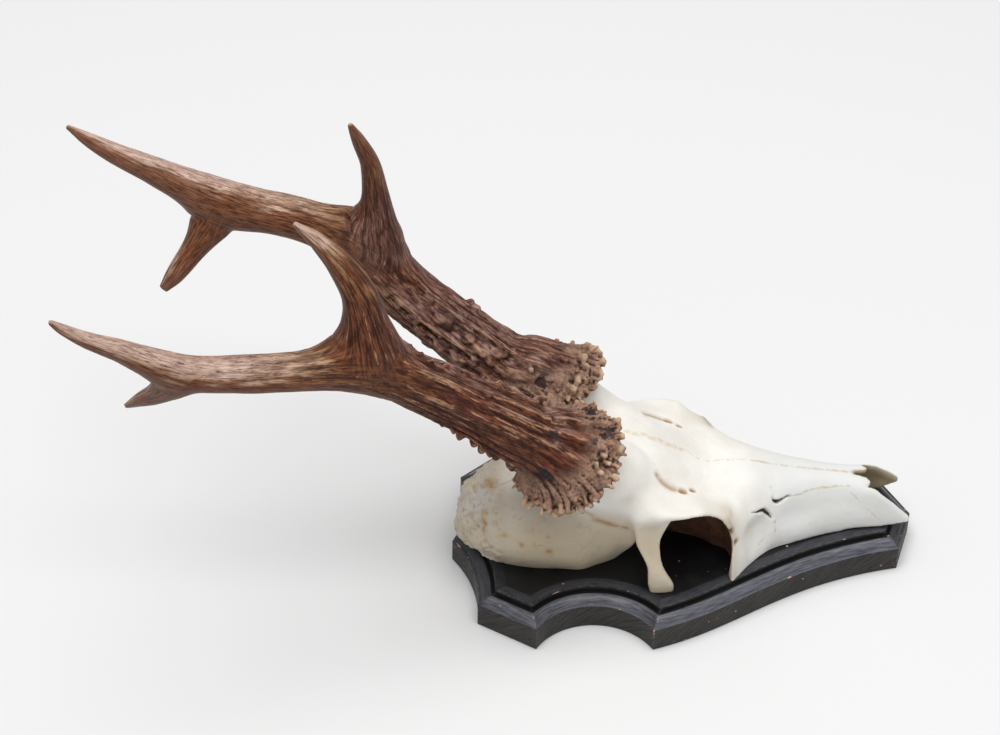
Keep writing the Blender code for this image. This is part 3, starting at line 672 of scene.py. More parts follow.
def furrows(limb, noise, distance, angle):
    """Height of the lengthwise crests and furrows, strongest low on the beam."""
    coarse, fine = coarse_and_fine(noise, distance, angle)
    lumps = noise(grain(distance, angle, 9, 9.0) + 3.1) - 0.5
    lumps += 0.6 * (noise(grain(distance, angle, 22, 4.5) + 7.7) - 0.5)
    low = 1 - smoothstep(0.3 * limb.length, 0.62 * limb.length, distance)
    height = (coarse**2.2 - 0.3) * (0.2 + 1.05 * low) + (fine**2 - 0.3) * (0.1 + 0.3 * low)
    return height + lumps * (0.12 + 0.6 * low)


def add_tine(shells, tine, beam, noise):
    """A tine's shell, thin where it starts inside the beam, whose crests it carries on."""
    root = beam.nearest(tine.table[:1, :3])[0][0]

    def radius_at(distance, angle):
        radius = tine.frame(distance)[1] * smoothstep(-9, 9, distance)
        return radius + 0.8 * furrows(beam, noise, distance + root, angle)

    shells.loft(tine.sheath(np.arange(0, tine.length, RING_STEP), circle(TINE_SIDES), radius_at))


def add_knob(shells, centre, axes, size, noise, wobble):
    """A rounded lump, its three half axes along the rows of axes, unevenly swollen."""
    points, faces = ball(3)
    swelling = 1 + wobble * (noise(points * 1.3 + centre * 0.37)[:, None] - 0.5) * 2
    shells.add(centre + (points * swelling * np.asarray(size)) @ np.asarray(axes), faces)


class Burr:
    """The flared foot of an antler, its points given by height over the rim's plane and angle."""

    def __init__(self, data, side, limb=None):
        centre, normal, self.reach, self.meets = data
        self.side, self.limb = side, limb
        self.axis = unit(np.array(normal, float) * (1, side, 1))
        self.middle = np.array(centre, float) * (1, side, 1)
        sideways = np.array((0.0, side, 0.0))
        self.out = unit(sideways - self.axis * self.axis.dot(sideways))
        self.front = np.cross(self.out, self.axis) * side
        self.heights, self.shares, self.blends = np.array(BURR_SECTIONS).T
        self.seat = self.middle + self.axis * self.heights[0]

    def axes(self, angle, tilt):
        """Outwards at an angle, tilted up by some of the axis, then crosswise, then square to both."""
        outward = self.out * math.cos(angle) + self.front * math.sin(angle)
        outward = unit(outward + self.axis * tilt)
        crosswise = unit(np.cross(self.axis, outward))
        return outward, crosswise, np.cross(outward, crosswise)

    def skirt(self, height, angle, lift):
        """Points on the skirt at one height, raised by lift: the rim's circle turning into the beam."""
        share, blend = (
            float(monotone(self.heights, column, [height])[0]) for column in (self.shares, self.blends)
        )
        radius = (self.reach * share + lift)[:, None]
        outward = self.out * np.cos(angle)[:, None] + self.front * np.sin(angle)[:, None]
        flared = self.middle + self.axis * height + outward * radius
        flared[:, 1] = self.side * np.maximum(self.side * flared[:, 1], MIDLINE_GAP)
        meets = np.full(len(angle), self.meets)
        own = self.limb.surface(meets, angle, self.limb.frame(meets)[1] + lift)
        return flared * (1 - blend) + own * blend

    def spot(self, height, angle, lift):
        return self.skirt(height, np.array([angle]), np.array([lift]))[0]

    def distance_of(self, height):
        """How far along the beam a height on the skirt counts as being."""
        return self.meets - (self.heights[-1] - height) * 1.3


def add_beam(shells, burr, noise):
    """The skirt of the burr and the beam in one shell, so that the same crests run down both."""
    beam, angles = burr.limb, circle(BEAM_SIDES)
    rings = []
    for height in np.linspace(burr.heights[0], burr.heights[-1], 64):
        distance = np.full(len(angles), burr.distance_of(height))
        lift = furrows(beam, noise, distance, angles) * (1 + 0.5 * math.exp(-((height / 7) ** 2)))
        rings.append(burr.skirt(height, angles, lift))

    def radius_at(distance, angle):
        return beam.frame(distance)[1] + furrows(beam, noise, distance, angle)

    distances = np.arange(burr.meets + 0.4, beam.length, RING_STEP)
    shells.loft(np.concatenate([np.array(rings), beam.sheath(distances, angles, radius_at)]))


def add_rod(shells, line, radii, sides=9):
    """A rod along a line of points, each with its own radius."""
    line = np.asarray(line, float)
    along = unit(np.gradient(line, axis=0))
    across = unit(np.cross(along, (0.31, 0.52, 0.79)))
    upwards = np.cross(along, across)
    turns = circle(sides)[:, None]
    ring = np.cos(turns) * across[:, None] + np.sin(turns) * upwards[:, None]
    shells.loft(line[:, None] + ring * np.asarray(radii)[:, None, None])


def add_ribs(shells, burr, draws):
    """Rows of drop-ended ribs that run down the skirt and stand out round its rim."""
    tips = []
    shares = np.linspace(0, 1, 7)
    for count, top, low, reach, rib, drop in BURR_ROWS:
        for index in range(count):
            angle = 2 * math.pi * (index + draws.uniform(-0.34, 0.34)) / count
            lean = draws.uniform(-0.1, 0.1)
            heights = np.linspace(draws.uniform(*top), draws.uniform(*low), 7)
            lifts = (draws.uniform(*reach) + 0.7) * shares**3 - 0.7
            places = zip(heights, angle + lean * shares, lifts)
            line = [burr.spot(*place) for place in places]
            end = unit(line[-1] - line[-2])
            for step in (0.8, 0.35):
                line.append(line[-1] + end * drop * step)
            thick = draws.uniform(0.6, 1.4)
            radii = [rib * 0.5] + [rib] * 4 + [rib * 0.95, drop, drop * 0.85, drop * 0.25]
            if burr.side * line[-1][1] < MIDLINE_GAP + 1 or draws.random() < RIB_LOST:
                continue
            add_rod(shells, line, np.array(radii) * thick)
            tips.append((angle, line[-2]))
    tips.sort(key=lambda tip: tip[0])
    for (_, first), (_, second) in zip(tips, tips[2:]):
        if 1.8 < np.linalg.norm(second - first) < 3.4 and draws.random() < RIBS_BRIDGED:
            middle = (first + second) / 2
            middle = middle + unit(middle - burr.middle) * 0.9
            line = rounded([first, middle, second], 9)
            add_rod(shells, line, np.full(9, draws.uniform(0.5, 0.8)))


def add_lumps(shells, burr, lumps, noise, draws):
    """Small lumps strewn between the ribs, then the cream ones, whose tops are returned."""
    for _ in range(LUMP_COUNT):
        angle = draws.uniform(0, 2 * math.pi)
        centre = burr.spot(draws.uniform(-4.0, 4.0), angle, draws.uniform(0.2, 1.4))
        size = draws.uniform(0.6, 1.4)
        if burr.side * centre[1] > MIDLINE_GAP + size:
            add_knob(shells, centre, burr.axes(angle, 0.5), (size * 1.3, size, size), noise, 0.4)
    tops = []
    for height, degrees, size in lumps:
        angle = math.radians(degrees)
        centre = burr.spot(height, angle, 0.8 + 0.3 * size)
        axes = burr.axes(angle, 0.4)
        add_knob(shells, centre, axes, (size * 1.2, size * 0.85, size * 1.2), noise, 0.5)
        tops.append((centre + axes[0] * 0.9 * size, size))
    return tops


def add_pearls(shells, limb, pearls, noise, draws):
    """Named big knobs, then many small pegs, thickest low down and on the inner and rear faces."""
    found = [(s, math.radians(d), r, 1.2, float(np.clip(2.4 - 0.45 * r, 1.1, 1.9))) for s, d, r in pearls]
    for _ in range(PEG_TRIES):
        distance = PEG_START + PEG_SPAN * draws.random() ** 1.3
        angle = draws.uniform(-math.pi, math.pi)
        inner = (0.5 - 0.5 * math.cos(angle - math.radians(20))) ** 1.6
        if draws.random() < (0.01 + 0.9 * inner) * (1.15 - distance / 120):
            size = 0.5 + 1.3 * draws.random() ** 1.6
            found.append((distance, angle, size, draws.uniform(1.0, 2.6), draws.uniform(0.9, 1.6)))
    tops = []
    for distance, angle, size, stretch, tall in found:
        centre, radius, out, front, along = (row[0] for row in limb.frame(distance))
        height = float(furrows(limb, noise, np.array([distance]), np.array([angle]))[0])
        outward = out * math.cos(angle) + front * math.sin(angle)
        outward = unit(outward - along * draws.uniform(0.0, 0.5))
        centre = centre + outward * (radius + height - 0.15 * size)
        crosswise = unit(np.cross(along, outward))
        axes = (np.cross(outward, crosswise), crosswise, outward)
        add_knob(shells, centre, axes, (size * stretch, size, size * tall), noise, 0.35)
        if size > 1.3:
            tops.append((centre + outward * size * tall, size))
    return tops


def web_fork(points, beam, tine, start, width):
    """Fills the angles between beam and tine to a round web, keeping the relief on both."""
    relief = None
    for _ in range(5):
        from_beam, beam_way = beam.gap(points)
        from_tine, tine_way = tine.gap(points, start)
        bend = np.clip(1 - (beam_way * tine_way).sum(1), 0.02, 1)
        share = np.clip(0.5 + 0.5 * (from_beam - from_tine) / (width * bend), 0, 1)
        if relief is None:
            relief = np.minimum(from_beam, from_tine)
        web = from_beam + (from_tine - from_beam) * share - width * bend * share * (1 - share)
        way = beam_way + (tine_way - beam_way) * share[:, None]
        steep = np.maximum((way**2).sum(1), 0.3)
        points = points - way * np.clip((web - relief) / steep, -2.5, 2.5)[:, None]
    return points


def nearness(points, places, reach):
    """From 1 at the nearest of some (place, size) pairs down to 0 at reach times its size."""
    index, away = nearest([place for place, _ in places], points)
    sizes = np.array([size for _, size in places])
    return np.clip(1 - away / (reach * sizes[index]), 0, 1)


def horn_fields(skin, limbs, noise):
    """What the horn's colours follow along beam and tines: tone, crests, fine lines and fibres."""
    beam = limbs["beam"]
    distance, angle = beam.nearest(skin.points)
    tone = distance / beam.length
    crest, line = coarse_and_fine(noise, distance, angle)
    fibre = grain(distance, angle, *FIBRES)
    tine_fibre = fibre.copy()
    on_tine = np.zeros(len(skin.points))
    for key, width, _, _, start, first_tone, lateness in FORKS:
        tine = limbs[key]
        near = np.nonzero(skin.away(tine.middle([start])) < 90)[0]
        off = beam.gap(skin.points[near])[0] - tine.gap(skin.points[near], start)[0]
        share = smoothstep(-0.5 * width, 0.5 * width, off)
        near, share = near[share > 0], share[share > 0]
        own, own_angle = tine.nearest(skin.points[near])
        root = beam.nearest(tine.table[:1, :3])[0][0]
        own_tone = first_tone + (1 - first_tone) * np.clip(own / tine.length, 0, 1) ** lateness
        fields = own_tone, *coarse_and_fine(noise, own + root, own_angle)
        for field, own_field in zip((tone, crest, line), fields):
            field[near] += (own_field - field[near]) * share
        tine_fibre[near] = grain(own + root, own_angle, *FIBRES)
        on_tine[near] = share
    skin.keep(tone=np.clip(tone, 0, 1), line=line, tine_fibre=tine_fibre, on_tine=on_tine)
    return crest, fibre


def build_antler(name, side, limb_tables, burr_data, lumps, stains, pearls, seed):
    """One antler as a single skin, with what its colours need stored on its points."""
    draws = random.Random(seed)
    noise = Noise(seed)
    limbs = {key: Limb(points, side) for key, points in limb_tables.items()}
    beam = limbs["beam"]
    burr = Burr(burr_data, side, beam)
    shells = Shells()
    add_beam(shells, burr, noise)
    for key, *_ in FORKS:
        add_tine(shells, limbs[key], beam, noise)
    add_ribs(shells, burr, draws)
    lump_tops = add_lumps(shells, burr, lumps, noise, draws)
    tops = add_pearls(shells, beam, pearls, noise, draws)
    obj = shells.object(name)
    fuse(obj, ANTLER_VOXEL)

    skin = Surface(obj)
    for key, width, rounds, reach, start, *_ in FORKS:
        away = skin.away(limbs[key].middle([start]))
        near = away < 3 * width
        skin.points[near] = web_fork(skin.points[near], beam, limbs[key], start, width)
        skin.smooth(rounds, bell(away, reach))
    skin.smooth(1)
    distance, _ = beam.nearest(skin.points)
    skin.smooth(JOIN_ROUNDS, bell(distance - burr.meets, JOIN_REACH))
    base = (skin.points - burr.seat) @ burr.axis
    skin.points -= np.minimum(base, 0)[:, None] * burr.axis

    crest, fibre = horn_fields(skin, limbs, noise)
    height = (skin.points - burr.middle) @ burr.axis
    from_axis = np.linalg.norm(np.cross(skin.points - burr.middle, burr.axis), axis=1)
    granular = smoothstep(22, 8, height) * smoothstep(0.5 * burr.reach, 0.75 * burr.reach, from_axis)
    rim = smoothstep(6, 2, height) * smoothstep(0.86 * burr.reach, 1.03 * burr.reach, from_axis)
    grit = Noise(seed + 5)
    push = 0.14 * (grit(fibre * 2.0) - 0.5) + 0.25 * granular * (grit(skin.points / 0.9) - 0.5)
    push += 0.5 * granular * (grit(fibre * (0.9, 0.9, 2.0) + 5) - 0.5)
    stained = np.zeros(len(skin.points))
    for height, degrees, radius, depth in stains:
        near = bell(skin.away(burr.spot(height, math.radians(degrees), 0.6)), radius)
        push -= depth * near
        stained = np.maximum(stained, near)
    skin.push(push)
    facing = skin.smoothed(skin.normals(), 6)
    skin.keep(
        knob=nearness(skin.points, tops, 1.5),
        cream=nearness(skin.points, lump_tops, 1.6),
        stained=stained,
        # which way the skin faces, for painted sheen on faces towards the light and painted shade on faces
        # away from it
        up=facing[:, 2],
        rubbed=facing @ (0, 0.35 * side, 0.94),
        dusted=facing @ (0, -0.5 * side, 0.87),
        relief=skin.relief(6),
        broad_relief=skin.relief(40),
        fibre=fibre,
        rim=rim,
        granular=granular,
        crest=crest - 0.25 * granular,
    )
    skin.store()
    thin_out(obj, ANTLER_TRIANGLES)
    obj.data.shade_smooth()
    return obj


# ---- skull ----


def skull_half(x, count, thinner=0.0):
    """The skull's half section at x, as (y, z) from the roof to the sawn edge, moved inwards."""
    table = np.insert(np.array(SKULL_SECTIONS, float), 1, 0.0, axis=1)
    section = monotone(table[:, 0], table[:, 1:].reshape(-1, 8, 2), [x])[0]
    half = np.maximum(rounded(section, count) - thinner, 0.0)
    half[0, 0] = 0.0
    return half


def whole_ring(x, half):
    """The ring at x from a half section, from the right side over the roof to the left."""
    mirrored = half[:0:-1] * (-1, 1)
    ring = np.vstack([mirrored, half])
    return np.column_stack([np.full(len(ring), x), ring])


def cavity_half(x):
    """The air passage's half section at x, from the middle of its roof straight down its side."""
    half = skull_half(x, 60, NASAL_WALL)
    heights = np.linspace(half[0, 1], min(CAVITY_SIDE, half[0, 1] - 4), 16)
    widths = np.interp(heights, half[::-1, 1], half[::-1, 0])
    widths[0] = 0.0
    return np.column_stack([np.append(widths, widths[-1]), np.append(heights, CLEAR_BELOW)])


def nasal_cavity():
    """The air passage, whose roof ends at the nose, where only the sides of the upper jaw go on."""
    rings = [whole_ring(x, cavity_half(x)) for x in np.linspace(CAVITY_START, ROOF_END, 40)]
    for x in np.linspace(OPEN_FROM, 104, 24):
        half = cavity_half(min(x, SKULL_SECTIONS[-1][0]))
        half[half[:, 1] > half[0, 1] - 0.7, 1] = CLEAR_ABOVE
        rings.append(whole_ring(x, half))
    return lofted("nasal_cavity_cutter", rings)


def nose_tips():
    """What lies beyond the rounded tips of the two nose bones, as an upright plate with that outline."""
    width = NOSE_TIP[-1][0]
    across = np.linspace(-width, width, 121)
    edge = monotone(*np.array(NOSE_TIP, float).T, np.abs(across))
    outline = np.vstack([np.column_stack([edge, across]), [(88, width), (88, -width)]])
    rings = [np.column_stack([outline, np.full(len(outline), z)]) for z in (30, CLEAR_ABOVE)]
    return lofted("nose_tips_cutter", rings)


def orbit_cutter(half):
    """A boxy ellipsoid for an eye socket, its front wall running forwards behind the bone's edge."""
    centre, half_axes = ORBIT
    points, faces = ball(5)
    points = np.sign(points) * np.abs(points) ** ORBIT_SQUARENESS * half_axes
    low = smoothstep(*ORBIT_LOW, points[:, 2])
    before = np.clip(points[:, 0] / half_axes[0], 0, 1)
    points[:, 0] *= 1 - ORBIT_TAPER * low * (before > 0)
    points[:, 0] -= ORBIT_SLANT * points[:, 1] * low * before
    high = smoothstep(4, 16, points[:, 2])
    points[:, 2] -= ORBIT_FALL * smoothstep(*ORBIT_FRONT, points[:, 0]) * high
    shells = Shells()
    shells.add((points + centre) * half, faces)
    return shells.object("orbit_cutter")


def in_orbit(points):
    """Below one inside either eye socket, about one on its wall, and more outside."""
    centre, half_axes = ORBIT
    x, y, z = ((points * (1, 0, 1) + np.abs(points) * (0, 1, 0)) - centre).T
    z = z + ORBIT_FALL * smoothstep(*ORBIT_FRONT, x) * smoothstep(2, 14, z)
    low = smoothstep(*ORBIT_LOW, z)
    slanted = x + ORBIT_SLANT * y * low * np.clip(x / half_axes[0], 0, 1)
    x = np.where(x > 0, slanted / (1 - ORBIT_TAPER * low), x)
    shares = np.abs(np.column_stack([x, y, z]) / half_axes)
    return (shares ** (2 / ORBIT_SQUARENESS)).sum(1)


def add_bar(shells, side):
    """The bar behind an eye socket: a flat plate, hollowed outside, down to its flared free end."""
    turns = circle(48)
    across = np.sign(np.cos(turns)) * np.abs(np.cos(turns)) ** 0.8
    through = np.sign(np.sin(turns)) * np.abs(np.sin(turns)) ** 0.6
    rings = []
    for x, y, z, width, thickness in rounded(BAR, 70):
        dish = 0.9 * smoothstep(26, 34, z) * smoothstep(52, 46, z)
        outside = through * (1 - dish * (through > 0) * (1 - across**2))
        ring_y = side * (y + thickness * outside)
        rings.append(np.column_stack([x + width * across, ring_y, np.full(len(turns), z)]))
    shells.loft(np.array(rings))


def add_pedicle(shells, burr):
    """The bony stalk under a burr, widest in front, where it grows out of the forehead."""
    distances, *radii = np.array(PEDICLE, float).T
    across = unit(np.cross(burr.axis, (1.0, 0.0, 0.0)))
    forwards = np.cross(across, burr.axis)
    turns = circle(60)[:, None]
    ring = np.cos(turns) * forwards + np.sin(turns) * across
    seat = burr.seat - burr.axis * GAP
    rings = []
    for distance in np.linspace(0, distances[-1], 24):
        front, side = (float(monotone(distances, column, [distance])[0]) for column in radii)
        radius = side + (front - side) * np.maximum(np.cos(turns), 0) ** 1.5
        rings.append(seat - burr.axis * distance + ring * radius)
    shells.loft(np.array(rings))


def saw_flat(obj, height):
    """Removes what lies below height and closes the cut."""
    bm = bmesh.new()
    bm.from_mesh(obj.data)
    cut = dict(plane_co=(0, 0, height * MM), plane_no=(0, 0, 1), clear_inner=True)
    bmesh.ops.bisect_plane(bm, geom=bm.verts[:] + bm.edges[:] + bm.faces[:], **cut)
    bmesh.ops.holes_fill(bm, edges=[edge for edge in bm.edges if edge.is_boundary])
    bm.to_mesh(obj.data)
    bm.free()


def skull_solid():
    """The hollow skull with both bars and pedicles, fused into one skin."""
    first, last = SKULL_SECTIONS[0][0], SKULL_SECTIONS[-1][0]
    rings = [whole_ring(x, skull_half(x, 70)) for x in np.linspace(first, last, 300)]
    skull = lofted("skull_detail", rings)
    for cutter in (nasal_cavity(), nose_tips(), *map(orbit_cutter, HALVES)):
        subtract(skull, cutter)
    extra = Shells()
    for burr_data, side in ((RIGHT_BURR, -1), (LEFT_BURR, 1)):
        add_bar(extra, side)
        add_pedicle(extra, Burr(burr_data, side))
    stalks = extra.object("bars_and_pedicles")
    bm = bmesh.new()
    for obj in (skull, stalks):
        bm.from_mesh(obj.data)
    bm.to_mesh(skull.data)
    bm.free()
    bpy.data.objects.remove(stalks, do_unlink=True)
    fuse(skull, SKULL_VOXEL)
    return skull


def carve_skull(skin):
    """Presses grooves, pits and hollows into the skull. Returns how much each point is its back."""
    lines = [np.array(line) * half for line in SUTURES for half in HALVES] + [FOREHEAD_LINE]
    suture = skin.away_from_lines(lines)
    seam = skin.away_from_lines([FOREHEAD_SEAM])
    groove = skin.away_from_lines([np.array(BROW_GROOVE) * half for half in HALVES])
    temple = skin.away_from_lines([np.array(TEMPLE_LINE) * half for half in HALVES])
    push = -0.8 * bell(groove, 1.7)
    stain = 0.6 * bell(groove, 1.6)
    for (centre, length, width), half in itertools.product(BROW_PITS, HALVES):
        x, y, z = (skin.points - np.array(centre) * half).T
        depth = np.exp(-(((np.hypot(x, z) / length) ** 2 + (y / width) ** 2) ** 1.5))
        push -= 1.6 * depth
        stain += depth
    for (centre, radius), half in itertools.product(EYE_NOTCHES, HALVES):
        away = skin.away(np.array(centre) * half)
        push -= 1.4 * np.exp(-((away / radius) ** 4))
        stain += 0.7 * bell(away, radius)
    for side in (1, -1):
        x, y, z = (skin.points - np.array(CHEEK_HOLLOW) * (1, side, 1)).T
        along = (x * 0.85 - side * y * 0.53) / 9.0
        up = z / np.where(z > 0, 6.5, 14.0)
        through = (x * 0.53 + side * y * 0.85) / 9.0
        push -= CHEEK_DEPTH * smoothstep(1.2, 0.0, np.sqrt(along**2 + up**2 + through**2))
        offset = (skin.points - np.array(JAW_HOLLOW) * (1, side, 1)) / JAW_HOLLOW_SIZE
        push -= JAW_DEPTH * np.exp(-((offset**2).sum(1)))
    push += 0.5 * bell(temple, 1.6) - 0.5 * bell(temple, 3.5)
    noise = Noise(SKULL_SEED)
    rear = smoothstep(-76, -90, skin.points[:, 0])
    rough = noise(skin.points / 2.6) - 0.5 + 0.7 * (noise(skin.points / 1.3 + 9) - 0.5)
    push += rough * (0.1 + 1.8 * rear) + 2.6 * rear * (noise(skin.points / 6.5 + 1) - 0.5)
    push += 0.9 * (noise(skin.points / 13.0 + 4) - 0.5)
    skin.push(push)

    for centre, radius, strength in SKULL_SPOTS:
        stain += strength * bell(skin.away(centre), radius)
    stain += 0.8 * bell(temple, 1.3) * smoothstep(0.35, 0.6, noise(skin.points / 4.0 + 2))
    skin.keep(suture=suture, seam=seam, stain=np.clip(stain, 0, 1))
    return rear


def build_skull():
    skull = skull_solid()
    skin = Surface(skull)
    for (place, reach, rounds), half in itertools.product(SKULL_BLENDS, HALVES):
        skin.smooth(rounds, bell(skin.away(np.array(place) * half), reach))
    skin.smooth(3)
    rough_rear = carve_skull(skin)

    x, y, z = skin.points.T
    facing = skin.normals()
    inwards = facing[:, 1] * np.sign(y)
    from_middle = np.abs(y)
    under = smoothstep(47.5, 45, z)
    # Painted shade inside the eye sockets, in the gap between them low down, and on faces there turned
    # downwards.
    socket = smoothstep(1.5, 1.2, in_orbit(skin.points)) * smoothstep(35, 29, from_middle)
    between = smoothstep(16, 11, x) * smoothstep(33, 26, from_middle) * under
    socket = np.maximum(socket, between) * smoothstep(-22, -15, x)
    socket *= np.maximum(under, smoothstep(0.0, -0.4, facing[:, 2]))
    slit = np.full(len(skin.points), 9.0)
    for chain, half in itertools.product(SLITS, HALVES):
        for *place, radius in rounded(chain, 40):
            slit = np.minimum(slit, skin.away(np.array(place) * half) - radius)
    skin.points -= facing * (2.2 * smoothstep(0.35, -0.35, slit))[:, None]
    skin.keep(
        socket=socket,
        slit=slit,
        # the snout's inner faces, for painted shade
        inside=smoothstep(0.1, -0.4, inwards) * smoothstep(60, 68, x),
        braincase=smoothstep(-34, -50, x),
        # low on the bars and round the eye sockets, for yellow-brown staining and painted shade
        low=smoothstep(60, 38, z) * smoothstep(22, 11, x) * smoothstep(18, 28, np.abs(y)),
        before=smoothstep(15, 45, x),
        relief=skin.relief(8),
        rear=smoothstep(-20, -60, x) * smoothstep(58, 45, z) + rough_rear,
    )
    skin.store()
    saw_flat(skull, FIELD_HEIGHT + GAP)
    skull.data.shade_smooth()
    return skull


# ---- shield ----


def even_steps(count):
    """A column of shares from 1 / count up to 1."""
    return np.arange(1, count + 1)[:, None] / count


def arc(start, end, hollow, count):
    """Points after start up to end along an arc that bows towards the midline by hollow."""
    chord = end - start
    half = np.linalg.norm(chord) / 2
    inwards = np.array((chord[1], -chord[0])) / (2 * half)
    radius = (half**2 + hollow**2) / (2 * hollow)
    angle = math.asin(half / radius) * (2 * even_steps(count) - 1)
    along = radius * np.sin(angle) / half / 2 + 0.5
    depth = radius * np.cos(angle) - (radius - hollow)
    return start + chord * along + inwards * depth


def bezier(start, first, second, end, count):
    t = even_steps(count)
    rest = 1 - t
    return start * rest**3 + 3 * first * t * rest**2 + 3 * second * t**2 * rest + end * t**3


def straight(start, end, count):
    return start + (end - start) * even_steps(count)


def shield_runs():
    """The outline from above as runs between corners, clockwise from the point behind the skull."""
    back, front = np.array((-SHIELD_LENGTH / 2, 0.0)), np.array((SHIELD_LENGTH / 2, 0.0))
    top, scoop, scoop_end, muzzle = map(np.array, (TOP_CORNER, SCOOP_START, SCOOP_END, MUZZLE_CORNER))
    runs, start = [], back
    for run in (
        arc(back, top, TOP_HOLLOW, 36),
        straight(top, scoop, 24),
        arc(scoop, scoop_end, SCOOP_DEPTH, 60),
        bezier(scoop_end, scoop_end + EDGE_BOW, muzzle - EDGE_HOLLOW, muzzle, 110),
        straight(muzzle, front, 24),
    ):
        runs.append(np.vstack([start, run]))
        start = run[-1]
    return runs + [run[::-1] * (1, -1) for run in runs[::-1]]


def crossing(first, second):
    """Where two lines of points cross nearest the first one's end, as positions along each."""
    steps = np.diff(second, axis=0)
    for i in range(len(first) - 2, len(first) // 2, -1):
        along = first[i + 1] - first[i]
        offset = second[:-1] - first[i]
        cross = along[0] * steps[:, 1] - along[1] * steps[:, 0]
        cross = np.where(np.abs(cross) < 1e-9, 1e-9, cross)
        t = (offset[:, 0] * steps[:, 1] - offset[:, 1] * steps[:, 0]) / cross
        u = (offset[:, 0] * along[1] - offset[:, 1] * along[0]) / cross
        hits = np.nonzero((t >= 0) & (t <= 1) & (u >= 0) & (u <= 1))[0]
        if len(hits) and hits[0] < len(second) // 2:
            return i + t[hits[0]], hits[0] + u[hits[0]]


def inset(runs, distance):
    """The runs moved inwards by distance and mitred, each with as many points as before."""
    moved = []
    reach = np.linspace(10, 0.5, 20)[:, None]
    for run in runs:
        tangent = unit(np.gradient(run, axis=0))
        line = run + np.column_stack([tangent[:, 1], -tangent[:, 0]]) * distance
        moved.append(np.vstack([line[0] - tangent[0] * reach, line, line[-1] + tangent[-1] * reach[::-1]]))
    meets = [crossing(line, following) for line, following in zip(moved, moved[1:] + moved[:1])]
    result = []
    for index, (run, line) in enumerate(zip(runs, moved)):
        positions = np.linspace(meets[index - 1][1], meets[index][0], len(run))
        places = np.arange(len(line))
        result.append(np.column_stack([np.interp(positions, places, column) for column in line.T]))
    return result


def closed_ring(runs, height):
    flat = np.vstack([run[:-1] for run in runs])
    return np.column_stack([flat, np.full(len(flat), height)])


def build_shield():
    """The board: its moulding lofted through mitred outlines, and a flat field on top."""
    runs = shield_runs()
    rings = np.array([closed_ring(inset(runs, width), height) for width, height in MOULDING])
    levels, sides = rings.shape[:2]
    level = np.arange(levels)[:, None]
    uneven = Noise(SHIELD_SEED)(rings / 14.0) - 0.5
    rings[..., 2] += UNEVEN * uneven * ((level >= SIDE_END) & (level < STEP_END))
    shield = lofted("shield_detail", rings)
    skin = Surface(shield)

    # The paint's brush marks run round the board, or slanting up its sides.
    outer = rings[0]
    travelled = np.cumsum(np.linalg.norm(outer - np.roll(outer, 1, 0), axis=1))
    radius = travelled[-1] / (2 * math.pi)
    steps = np.linalg.norm(np.diff(MOULDING, axis=0), axis=1)
    profile = np.append(0, np.cumsum(steps))[:, None]
    turn = travelled / radius + np.where(level <= SIDE_END, 1.3 * profile / radius, 0.0)
    course = np.stack([np.cos(turn) * radius, np.sin(turn) * radius, profile + 0 * turn], -1)
    # It is worn along the moulding's edges and at the outline's corners, where a broken painted highlight
    # also runs.
    corners = np.cumsum([0] + [len(run) - 1 for run in runs[:-1]])[:, None]
    to_corner = np.abs((np.arange(sides) - corners + sides / 2) % sides - sides / 2).min(0)
    arris = np.exp(-((level - SIDE_END - 0.5) ** 2) / 3.0)
    arris = arris + 0.9 * np.exp(-((level - STEP_END) ** 2) / 0.8)
    arris = arris + 0.6 * bell(to_corner, 1.2) * (level < STEP_END) * (level > 2)
    # The moulding's slope, and faintly the field's rounded edge, carry a painted reflection, strongest on
    # the long sides that face the light.
    along = unit(np.roll(outer, -1, 0) - np.roll(outer, 1, 0))
    lengthwise = smoothstep(0.35, 0.85, np.abs(along[:, 0]))
    brushed_sheen = (level >= SIDE_END) * (level < SLOPE_END)
    brushed_sheen = brushed_sheen + 0.28 * (level > STEP_END) * (level < EDGE_END)
    skin.keep(
        arris=np.clip(arris, 0, 1).ravel(),
        side=np.repeat(level < SIDE_END, sides),
        moulding=(brushed_sheen * (0.35 + 0.65 * lengthwise)).ravel(),
        course=course.reshape(-1, 3),
    )
    shield.data.shade_smooth()
    shield.data.set_sharp_from_angle(angle=math.radians(SHARP_DEGREES))
    return shield


# ---- materials ----


class Value:
    """An output of a material's node tree, with the sums that are done on it."""

    def __init__(self, paint, socket):
        self.paint, self.socket = paint, socket

    def __add__(self, other):
        return self.paint.math("ADD", self, other)

    def __sub__(self, other):
        return self.paint.math("SUBTRACT", self, other)

    def __mul__(self, other):
        return self.paint.math("MULTIPLY", self, other)

    def ramp(self, low, high, start=0.0, end=1.0):
        """low..high turned into start..end with a soft curve."""
        inputs = enumerate((self, low, high, start, end))
        return self.paint.node("ShaderNodeMapRange", inputs, interpolation_type="SMOOTHSTEP")

    def stretch(self, *scale):
        inputs = enumerate((self, scale))
        return self.paint.node("ShaderNodeVectorMath", inputs, operation="MULTIPLY")


